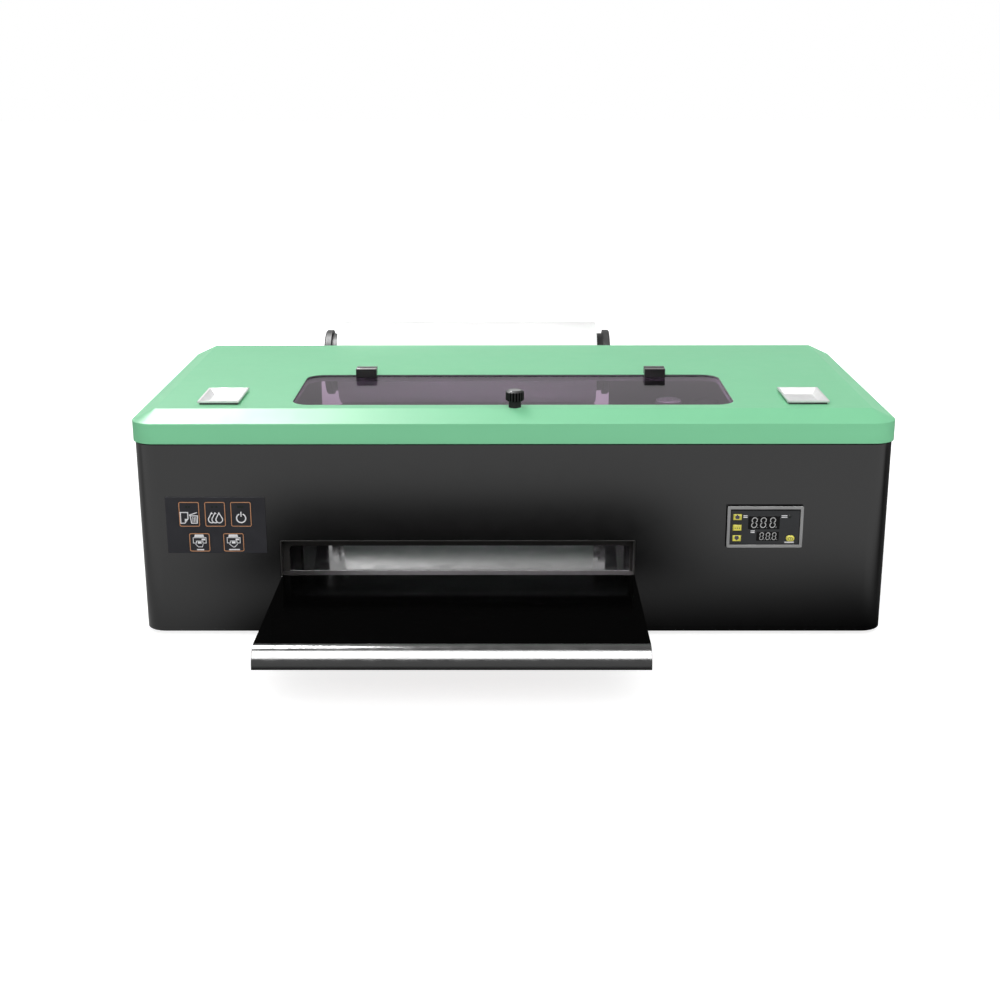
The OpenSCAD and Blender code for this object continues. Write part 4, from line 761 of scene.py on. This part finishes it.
def dress_controller():
    """Displays, lamp, marks, painted shade and painted shadow of the controller, and its keys'
    crowns.
    """
    face, body, slot = "thermostat_face", "case", "face_plastic"
    face_low, face_high = box_of(face)
    front = face_low.y
    for name, ((width, height), digit, stroke, columns) in DISPLAYS.items():
        spot = surface_at(name, face)
        place = Vector((spot.x, front, spot.z))
        window = rounded_box((-width / 2, -height / 2), (width / 2, height / 2), 0.8)
        Print(place).fill(window).piece(name, "display_glass", body, slot, DISPLAY_THICK)
        digits = Print(place - Vector((0, DISPLAY_THICK * MM, 0)))
        for column in columns:
            digit_eight(digits, column, *digit, stroke)
        digits.piece(f"{name}_digits", "digit_ink", body, slot)
    lamp = surface_at("output_lamp", face)
    mesh = bmesh.new()
    round_rows(mesh, (lamp.x, front, lamp.z), FRONT, LAMP_ROWS, 24)
    add_piece("output_lamp", mesh, "lamp_dark", body, slot)
    bars = Print((lamp.x, front, lamp.z))
    for start, end, height in DOUBLE_BARS:
        for side in (-0.85, 0.85):
            bars.stroke([(start, height + side), (end, height + side)], 0.9)
    bars.stroke([(-4.2, -28.0), (5.6, -28.0)], 1.5)
    bars.piece("controller_marks", "light_ink", body, slot)

    # A dark border round the face, heavier at the top: painted shade of the bezel's recess
    middle = (face_low + face_high) / 2
    x, z = half_size(face_low, face_high)
    recess_shade = Print((middle.x, front, middle.z))
    recess_shade.stroke([(right * (x - 0.3), up * (z - 0.3))
                   for right, up in ((-1, -1), (1, -1), (1, 1), (-1, 1))], 0.6, closed=True)
    recess_shade.stroke([(-x + 0.6, z - 1.05), (x - 0.6, z - 1.05)], 0.9)
    recess_shade.piece("controller_border", "painted_shade_black", body, slot)
    # A dark sheet behind the bezel: painted shadow along the bezel's top and left edges
    low, high = box_of("thermostat_case")
    x, z = half_size(low, high)
    bezel_shadow_sheet = Print(((low.x + high.x) / 2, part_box("key_panel")[1][1], (low.z + high.z) / 2))
    bezel_shadow_sheet.fill(rounded_box((-x - BEZEL_SHADOW_LEFT, -z - BEZEL_SHADOW_FOOT), (x + BEZEL_SHADOW_RIGHT, z + BEZEL_SHADOW_TOP), 1.2, 3))
    bezel_shadow_sheet.piece("controller_seal", "painted_shade_black", body, slot, BEZEL_SHADOW_THICK)

    for key, up in (("up", 1), ("down", -1)):
        arrow = [(x - 0.3, up * z + 0.7) for x, z in ARROW]
        Print(key_cap(f"thermostat_{key}")).fill(arrow).piece(
            f"{key}_arrow", "key_ink", f"{key}_key", "soft_key")
    dots = Print(key_cap("thermostat_set"))
    for x in (-2.2, 0, 2.2):
        dots.fill(arc((x, 0), 0.6, 0, 345, 14))
    dots.piece("set_dots", "key_ink", "set_key", "soft_key")
    ring = Print(key_cap("thermostat_restart"))
    ring.stroke([(2.4 * x, 1.6 * z) for x, z in arc((0, 0), 1, 0, 345, 23)], 0.45, closed=True)
    ring.stroke([(0, -0.8), (0, 0.8)], 0.6)
    ring.piece("restart_ring", "key_ink", "restart_key", "soft_key")


# ---------- screws and fittings ----------

# Radii of screw heads, in mm
SMALL, MIDDLE, LARGE = 2.6, 3.0, 3.2
# Places of screws along one axis, in metres
BACK_SIDE_Z = (0.02, 0.085, 0.15, 0.2)
BACK_FOOT_X, BACK_FOOT_Z = (-0.26, -0.13, 0.0, 0.13, 0.24), 0.014
ARM_SCREWS_Z = (0.115, 0.145, 0.17)
BASE_SCREWS_X = (-0.13, 0.13)
RAIL_SCREWS_X = (-0.285, -0.14, 0.02, 0.16, 0.305)
# How far screws are from the edges of what they hold, in mm
BACK_EDGE, FAN_EDGE, LEAF_EDGE, LEAF_UPPER, ARM_EDGE = 13, 4.5, 8, 24, 9
INLET_EDGE, BASE_EDGE, BASE_FRONT, RAIL_BEHIND = 4, 12, 34, 9.5
# Thickness of the hinge leaves, roll arms and inlet plate behind the back panel, in mm
LEAF, ARM, INLET = 1.5, 3, 2
# Gap around the window lid, the lid's corner radius, and the depth of the wall around it, in mm
WINDOW_GAP = 0.6
WINDOW_CORNER = 19.4
WINDOW_WALL = 9.2
# Radius of the case's front corners, in mm
CASE_CORNER = 23.7
# The dark strip under the hood's skirt, which is painted shadow of the skirt, in mm: how far it
# reaches into and out of the case's side, below and above the skirt's edge, and how far from the
# back it ends
RIM_IN, RIM_OUT, RIM_BELOW, RIM_ABOVE, RIM_BACK = -0.2, 0.3, -1.4, 2, 4
# The latch knob: its flutes, how far out their floors lie, and its height, in mm
FLUTES = 18
FLUTE_FLOOR = 8.9
KNOB_HEIGHT = 10.6
# Ribs around an ink cap, and the corners, corner radius and thickness of an ink level window, in mm
CAP_RIBS = 30
LEVEL_LOW, LEVEL_HIGH, LEVEL_RADIUS, LEVEL_THICK = (-4, -62), (4, 50), 2, 0.4
# The random draw, and how often a place is drawn for each thing on the main board
SEED, TRIES = 7, 60
# Kind, half size, height and number of the things on the main board, in mm
BOARD_PARTS = (
    ("chips", 7.5, 1.6, 3), ("capacitors", 4.5, 11, 6), ("connectors", 6, 7, 8),
    ("chips", 4, 1.2, 14), ("capacitors", 2.6, 6, 8), ("chips", 1.6, 0.8, 40),
)
BOARD_FINISHES = {
    "chips": "chip_black", "capacitors": "capacitor_sleeve", "connectors": "connector_white",
}
# Distance between the dark discs that paint the shade of the power supply's vents, and their
# radius, in mm
VENT_PITCH, VENT_RADIUS = 7, 2.1


def dress_back():
    """Screw heads on the back panel, fan, hinge leaves and roll arms."""
    low, high = box_of("back_panel")
    edge, face = BACK_EDGE * MM, high.y
    places = [(x, face, z) for x in (low.x + edge, high.x - edge) for z in BACK_SIDE_Z]
    places += [(x, face, BACK_FOOT_Z) for x in BACK_FOOT_X]
    screws("back_panel_screws", places, BACK, LARGE, "hinge_steel")
    low, high = box_of("fan_frame")
    edge = FAN_EDGE * MM
    places = [(x, face, z) for x in (low.x + edge, high.x - edge)
              for z in (low.z + edge, high.z - edge)]
    screws("fan_screws", places, BACK, MIDDLE, "hinge_steel")
    edge = LEAF_EDGE * MM
    places = []
    for low, high in solids("case_hinges"):
        places += [(x, face + LEAF * MM, z) for x in (low.x + edge, high.x - edge)
                   for z in (low.z + edge, low.z + LEAF_UPPER * MM)]
    screws("hinge_leaf_screws", places, BACK, SMALL, "hinge_steel")
    edge = ARM_EDGE * MM
    places = []
    for low, high in solids("roll_brackets"):
        x = high.x - edge if low.x > 0 else low.x + edge
        places += [(x, face + ARM * MM, z) for z in ARM_SCREWS_Z]
    screws("roll_arm_screws", places, BACK, LARGE, "arm_paint")


def dress_window():
    """Foam strip against stray light, over the whole wall of the hood's window."""
    low, high = box_of("window_lid")
    hood_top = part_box("hood_shell")[1][2]
    foot, brow = hood_top - WINDOW_WALL * MM, hood_top - 0.4 * MM
    mesh = bmesh.new()
    rows = []
    for inset, z in ((0.05, foot), (0.3, foot), (0.3, brow), (0.05, brow)):
        reach = WINDOW_GAP * MM - inset * MM
        outline = rounded_box((low.x - reach, low.y - reach), (high.x + reach, high.y + reach),
                              WINDOW_CORNER * MM + reach, 10)
        rows.append([mesh.verts.new((x, y, z)) for x, y in outline])
    bridge(mesh, rows + rows[:1])
    add_piece("window_seal", mesh, "seal_foam", "hood", "gasket_rubber")


def dress_rim():
    """Black strip around the case, in the gap under the hood's skirt: painted shadow of the skirt.
    """
    low, high = box_of("case_shell")
    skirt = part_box("hood_shell")[0][2]
    mesh = bmesh.new()
    rows = []
    for out, rise in ((RIM_IN, RIM_BELOW), (RIM_OUT, RIM_BELOW),
                      (RIM_OUT, RIM_ABOVE), (RIM_IN, RIM_ABOVE)):
        out *= MM
        radius = CASE_CORNER * MM + out
        left, right, front = low.x - out, high.x + out, low.y - out
        path = [(left, high.y - RIM_BACK * MM)]
        path += arc((left + radius, front + radius), radius, 180, 270, 12)
        path += arc((right - radius, front + radius), radius, 270, 360, 12)
        path.append((right, high.y - RIM_BACK * MM))
        rows.append([mesh.verts.new((x, y, skirt + rise * MM)) for x, y in path])
    bridge(mesh, rows + rows[:1], closed=False)
    for end in (0, -1):
        mesh.faces.new([row[end] for row in rows])
    add_piece("rim_strip", mesh, "painted_shade_black", "case", "foot_rubber")


def dress_knob():
    """Glossy inlay on the latch knob's top, and dark strips in its flutes as painted shade."""
    spots = points_of("latch_knob")
    top = max(v.z for v in spots)
    rim = [v for v in spots if v.z > top - 0.1 * MM]
    low, high = (Vector(end(v[i] for v in rim) for i in range(2)) for end in (min, max))
    middle = Vector(((low.x + high.x) / 2, (low.y + high.y) / 2, top))
    inlay = (high.x - low.x) / 2 / MM - 0.4
    mesh = bmesh.new()
    round_rows(mesh, middle, UP, [(inlay, 0), (inlay, 0.15), (inlay - 0.2, 0.25)], 48)
    add_piece("knob_inlay", mesh, "knob_gloss", "latch", "knob_black")
    # Dark strips on the flute floors: painted shade in the grooves
    mesh = bmesh.new()
    for i in range(FLUTES):
        turn = 2 * math.pi * i / FLUTES
        out = Vector((math.cos(turn), math.sin(turn), 0))
        side = Vector((-out.y, out.x, 0))
        corners = []
        for depth, half in ((FLUTE_FLOOR - 0.3, 0.4), (FLUTE_FLOOR + 0.35, 0.75)):
            for along in (-half, half):
                for height in (-KNOB_HEIGHT + 0.3, -1.7):
                    corners.append(mesh.verts.new(
                        middle + (out * depth + side * along + Vector((0, 0, height))) * MM))
        for face in ((0, 1, 3, 2), (4, 6, 7, 5), (0, 4, 5, 1),
                     (2, 3, 7, 6), (0, 2, 6, 4), (1, 5, 7, 3)):
            mesh.faces.new([corners[k] for k in face])
    add_piece("knob_flutes", mesh, "painted_shade_black", "latch", "knob_black")


def dress_inks():
    """Ribbed caps and level windows on the five ink tanks."""
    cap_low, cap_high = box_of("white_ink_cap")
    middle = (cap_low + cap_high) / 2
    radius = (cap_high.x - cap_low.x) / 2 / MM
    height = (cap_high.z - cap_low.z) / MM
    mesh = bmesh.new()
    grip = ribbed(radius + 0.7, 0.5, CAP_RIBS)
    round_rows(mesh, (middle.x, middle.y, cap_low.z), UP, [
        (radius + 0.1, 0.4), (grip, 0.9), (grip, height - 1.4), (radius + 0.1, height - 0.9),
    ], 180)
    add_piece("white_cap_grip", mesh, "dark_plastic", "case", "white_plastic")
    for (low, high), name in zip(solids("ink_tanks"), INKS):
        x = (low.x + high.x) / 2
        if name != "white":
            mesh = bmesh.new()
            grip = ribbed(radius, 0.6, CAP_RIBS)
            round_rows(mesh, (x, middle.y, cap_low.z), UP, [
                (radius - 0.8, 0.0), (grip, 0.8), (grip, height - 3),
                (radius - 0.9, height - 2), (4, height - 1.8),
            ], 180)
            add_piece(f"{name}_ink_cap", mesh, f"ink_{name}", "case", "tank_plastic")
        level = Print((x, low.y, (low.z + high.z) / 2))
        level.fill(rounded_box(LEVEL_LOW, LEVEL_HIGH, LEVEL_RADIUS))
        level.piece(f"{name}_ink_level", f"ink_{name}", "case", "tank_plastic", LEVEL_THICK)


def dress_boards():
    """Chips, capacitors and connectors on the main board, and painted shade of the power supply's
    vents.
    """
    low, high = max(solids("circuit_boards"), key=lambda box: box[1].x - box[0].x)
    tree = tree_of("circuit_boards")

    def below(x, y):
        """What a ray from above meets at a place in metres."""
        return tree.ray_cast(Vector((x, y, high.z + 0.01)), Vector(DOWN))[0]

    top = max(below(low.x + 3 * MM, low.y + along * MM).z for along in (30, 50))
    taken = []

    def free(x, y, half):
        """True where a part of this size has bare board around it."""
        if any(abs(x - a) < half + c and abs(y - b) < half + c for a, b, c in taken):
            return False
        for i in (-1, 0, 1):
            for j in (-1, 0, 1):
                hit = below((x + i * half) * MM, (y + j * half) * MM)
                if hit is None or abs(hit.z - top) > 0.1 * MM:
                    return False
        taken.append((x, y, half + 0.6))
        return True

    draw = random.Random(SEED)
    meshes = {kind: bmesh.new() for kind in BOARD_FINISHES}
    for kind, half, tall in (part[:3] for part in BOARD_PARTS for _ in range(part[3])):
        for _ in range(TRIES):
            x = draw.uniform(low.x / MM + half + 2, high.x / MM - half - 2)
            y = draw.uniform(low.y / MM + half + 2, high.y / MM - half - 2)
            if kind == "connectors":
                y = draw.choice((low.y / MM + half + 1.5, high.y / MM - half - 1.5))
            if not free(x, y, half):
                continue
            base = top / MM
            if kind == "capacitors":
                round_rows(meshes[kind], (x * MM, y * MM, top), UP, [
                    (half * 0.92, -0.02), (half, 0.4), (half, 1.0), (half * 0.93, 1.4),
                    (half, 1.8), (half, tall - 0.5), (half * 0.9, tall), (half * 0.8, tall - 0.2),
                ], 24)
            else:
                block(meshes[kind], (x - half, y - half * 0.8, base - 0.02),
                      (x + half, y + half * 0.8, base + tall))
            break
    for kind, made in meshes.items():
        add_piece(f"board_{kind}", made, BOARD_FINISHES[kind], "case", "board_green")
    # Dark discs on the power supply: painted shade in place of vent openings
    low, high = box_of("power_supply")
    vent_discs = bmesh.new()
    pitch = VENT_PITCH * MM
    for i in range(int((high.x - low.x) / pitch) - 1):
        for j in range(int((high.y - low.y) / pitch) - 1):
            at = (low.x + (i + 1.2) * pitch, low.y + (j + 1.2) * pitch, high.z)
            round_rows(vent_discs, at, UP, [(VENT_RADIUS, -0.05), (VENT_RADIUS, 0.12)], 6)
    add_piece("supply_vents", vent_discs, "painted_shade_black", "case", "supply_metal")


def dress_frame():
    """Screw heads of the mains inlet, base and rail."""
    low, high = max(solids("rear_sockets"), key=lambda box: box[1].z - box[0].z)
    x, face = (low.x + high.x) / 2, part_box("back_panel")[1][1] + INLET * MM
    places = [(x, face, z) for z in (low.z + INLET_EDGE * MM, high.z - INLET_EDGE * MM)]
    screws("inlet_screws", places, BACK, SMALL, "socket_plastic")
    low, high = box_of("base_plate")
    edge = BASE_EDGE * MM
    places = [(x, y, low.z) for x in (low.x + edge, *BASE_SCREWS_X, high.x - edge)
              for y in (low.y + BASE_FRONT * MM, high.y - edge)]
    screws("base_screws", places, DOWN, MIDDLE, "base_zinc")
    low, high = box_of("carriage_rail")
    places = [(x, (low.y + high.y) / 2 + RAIL_BEHIND * MM, high.z) for x in RAIL_SCREWS_X]
    screws("rail_screws", places, UP, SMALL, "rail_zinc")


# ---------- lights and backdrop ----------


def add_lamp(name, at, towards, size, watts):
    """A white rectangular lamp."""
    data = bpy.data.lights.new(name, "AREA")
    data.shape = "RECTANGLE"
    data.size, data.size_y = size
    data.energy = watts
    lamp = bpy.data.objects.new(name, data)
    bpy.context.scene.collection.objects.link(lamp)
    lamp.location = at
    lamp.rotation_mode = "QUATERNION"
    lamp.rotation_quaternion = (Vector(towards) - Vector(at)).to_track_quat("-Z", "Y")
    return lamp


# Strength of the soft light from all around
AMBIENT = 0.55


def add_world():
    """White to the camera, the lid and polished faces; plain soft light to the rest."""
    world = bpy.data.worlds.new("studio")
    bpy.context.scene.world = world
    world.use_nodes = True
    shading = Shading(world.node_tree)
    seen = shading.seen_by("Is Camera Ray", "Is Transmission Ray", "Is Glossy Ray")
    strength = {"Value": seen, "To Min": AMBIENT, "To Max": 1.0}
    background = world.node_tree.nodes["Background"].inputs
    background["Color"].default_value = (*grey(1), 1)
    shading.wire(background["Strength"], shading.node("ShaderNodeMapRange", strength)[0])


# Patches of floor that look dark in polished faces, and only there, as painted shadow of the object
# in its
# reflections: middle, half size, how much faster they fade along x and y, reach of the fade, and
# depth
DARK_PATCHES = (
    ((0.065, 0.0), (0.315, 0.115), (2.8, 1.0), 0.22, 1.0),
    ((-0.065, -0.48), (0.2, 0.09), (1.0, 1.0), 0.09, 1.0),
    ((0.85, 0.35), (0.4, 0.45), (1.0, 1.0), 0.18, 0.9),
    ((-0.85, 0.4), (0.4, 0.45), (1.0, 1.0), 0.18, 0.6),
)
# Half the floor's side, in metres
FLOOR_REACH = 12
# The floor's glow to the camera at two distances from the middle, as (distance, strength)
GLOW_NEAR, GLOW_FAR = (0.5, 0.8), (1.3, 1.2)


def add_floor():
    """Pale floor: white to the camera but for the object's shadow."""
    mesh = bpy.data.meshes.new("floor")
    corners = ((-1, -1), (1, -1), (1, 1), (-1, 1))
    mesh.from_pydata([(x * FLOOR_REACH, y * FLOOR_REACH, 0) for x, y in corners],
                     [], [(0, 1, 2, 3)])
    floor = bpy.data.objects.new("floor", mesh)
    bpy.context.scene.collection.objects.link(floor)
    material = bpy.data.materials.new("floor")
    material.use_nodes = True
    material.node_tree.nodes.clear()
    shading = Shading(material.node_tree)
    node, maths = shading.node, shading.maths
    place = node("ShaderNodeNewGeometry")["Position"]
    axes = node("ShaderNodeSeparateXYZ", [place])
    mirrored = 1
    for middle, half, sharper, fade, depth in DARK_PATCHES:
        apart = []
        for axis in (0, 1):
            offset = maths("ABSOLUTE", maths("SUBTRACT", axes[axis], middle[axis]))
            beyond = maths("MAXIMUM", maths("SUBTRACT", offset, half[axis]), 0)
            apart.append(maths("POWER", maths("MULTIPLY", beyond, sharper[axis]), 2))
        shade = maths("EXPONENT", maths("DIVIDE", maths("ADD", *apart), -fade ** 2))
        left = maths("SUBTRACT", 1, maths("MULTIPLY", shade, depth))
        mirrored = maths("MULTIPLY", mirrored, left)
    far = {"Value": node("ShaderNodeVectorMath", [place], operation="LENGTH")["Value"]}
    for word, (distance, strength) in (("Min", GLOW_NEAR), ("Max", GLOW_FAR)):
        far.update({f"From {word}": distance, f"To {word}": strength})
    glow = shading.glow(node("ShaderNodeMapRange", far)[0])
    plain = node("ShaderNodeBsdfDiffuse", {"Color": (*grey(0.5), 1)})[0]
    shown = node("ShaderNodeAddShader", [plain, glow])[0]
    to_camera = shading.seen_by("Is Camera Ray", "Is Transmission Ray")
    direct = node("ShaderNodeMixShader", [to_camera, plain, shown])[0]
    to_mirrors = shading.seen_by("Is Glossy Ray")
    final = node("ShaderNodeMixShader", [to_mirrors, direct, shading.glow(mirrored)])[0]
    node("ShaderNodeOutputMaterial", [final])
    mesh.materials.append(material)


def shows(point, depsgraph):
    """True where nothing hides a point from the camera."""
    away = Vector(point) - CAMERA_AT
    reach = away.length
    hit, at, *_ = bpy.context.scene.ray_cast(depsgraph, CAMERA_AT, away.normalized())
    return not hit or (at - CAMERA_AT).length > reach - 1.5 * MM


def extent_middle(points, depsgraph):
    """Middle, in the image, of those points that show."""
    seen = [to_image(p) for p in [p for p in points if shows(p, depsgraph)] or points]
    return tuple((min(p[i] for p in seen) + max(p[i] for p in seen)) / 2 for i in range(2))


def outermost(node, side, *tests):
    """The leftmost (-1) or rightmost (1) vertex of a node that passes the tests."""
    found = [p for p in points_of(node) if all(test(p) for test in tests)]
    return max(found, key=lambda p: side * p.x)


def write_points():
    """Where the corners, the left cup and the marked things show in the image, and which outermost
    points show; the results are not kept.
    """
    depsgraph = bpy.context.evaluated_depsgraph_get()

    near = 0.5 * MM
    hood_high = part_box("hood_shell")[1]
    bezel_low, bezel_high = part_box("slot_bezel")
    tray_low, tray_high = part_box("heater_tray")
    corners = {
        "hood_back": ("hood_shell", lambda p: p.y > hood_high[1] - near,
                      lambda p: p.z > hood_high[2] - near),
        "slot_top": ("slot_bezel", lambda p: p.y < bezel_low[1] + near,
                     lambda p: p.z > bezel_high[2] - near),
        "tray_front": ("heater_tray", lambda p: p.y < tray_low[1] + near,
                       lambda p: p.z > tray_high[2] - near),
    }
    for name, (node, *tests) in corners.items():
        for side, word in ((-1, "left"), (1, "right")):
            to_image(outermost(node, side, *tests))
    left_cup = [p for p in points_of("pull_cups") if p.x < 0]
    extent_middle(left_cup, depsgraph)
    for name in ("latch_knob", "eject_icon", "ink_icon", "power_icon", "back_icon", "enter_icon",
                 "upper_display", "lower_display", "output_lamp"):
        shape = NODES.get(name) or bpy.data.objects[name]
        extent_middle([v.co for v in shape.data.vertices], depsgraph)

    spots = []
    for piece in bpy.data.objects:
        if piece.type == "MESH" and piece.name != "floor" and not piece.hide_render:
            spots += [(to_image(v.co), v.co) for v in piece.data.vertices]
    for name, axis, sign in (("left", 0, 1), ("right", 0, -1), ("top", 1, 1), ("bottom", 1, -1)):
        for shown, place in sorted(spots, key=lambda spot: sign * spot[0][axis]):
            if shows(place, depsgraph):
                break


add_camera()
dress_nodes()
dress_keys()
dress_controller()
dress_back()
dress_inks()
dress_boards()
dress_frame()
dress_window()
dress_rim()
dress_knob()
add_world()
add_floor()
for lamp in (add_lamp("key", (-0.7, 0.5, 1.75), (0, 0, 0.1), (0.9, 0.9), 6),
             add_lamp("front", (0.3, -2.2, 1.7), (0, 0, 0.15), (1.6, 1.2), 27)):
    lamp.visible_glossy = False
# These two show only in glossy faces
for lamp in (add_lamp("overhead", (-0.12, -1.2, 1.6), (-0.12, -0.9, 0), (1.5, 1.7), 210),
             add_lamp("corner", (-0.8, 0.5, 1.6), (-0.35, -0.1, 0.2), (0.8, 0.6), 330)):
    lamp.visible_diffuse = False
    lamp.visible_transmission = False
NODES["window_lid"].visible_shadow = False
bpy.context.scene.view_settings.view_transform = "Standard"
write_points()
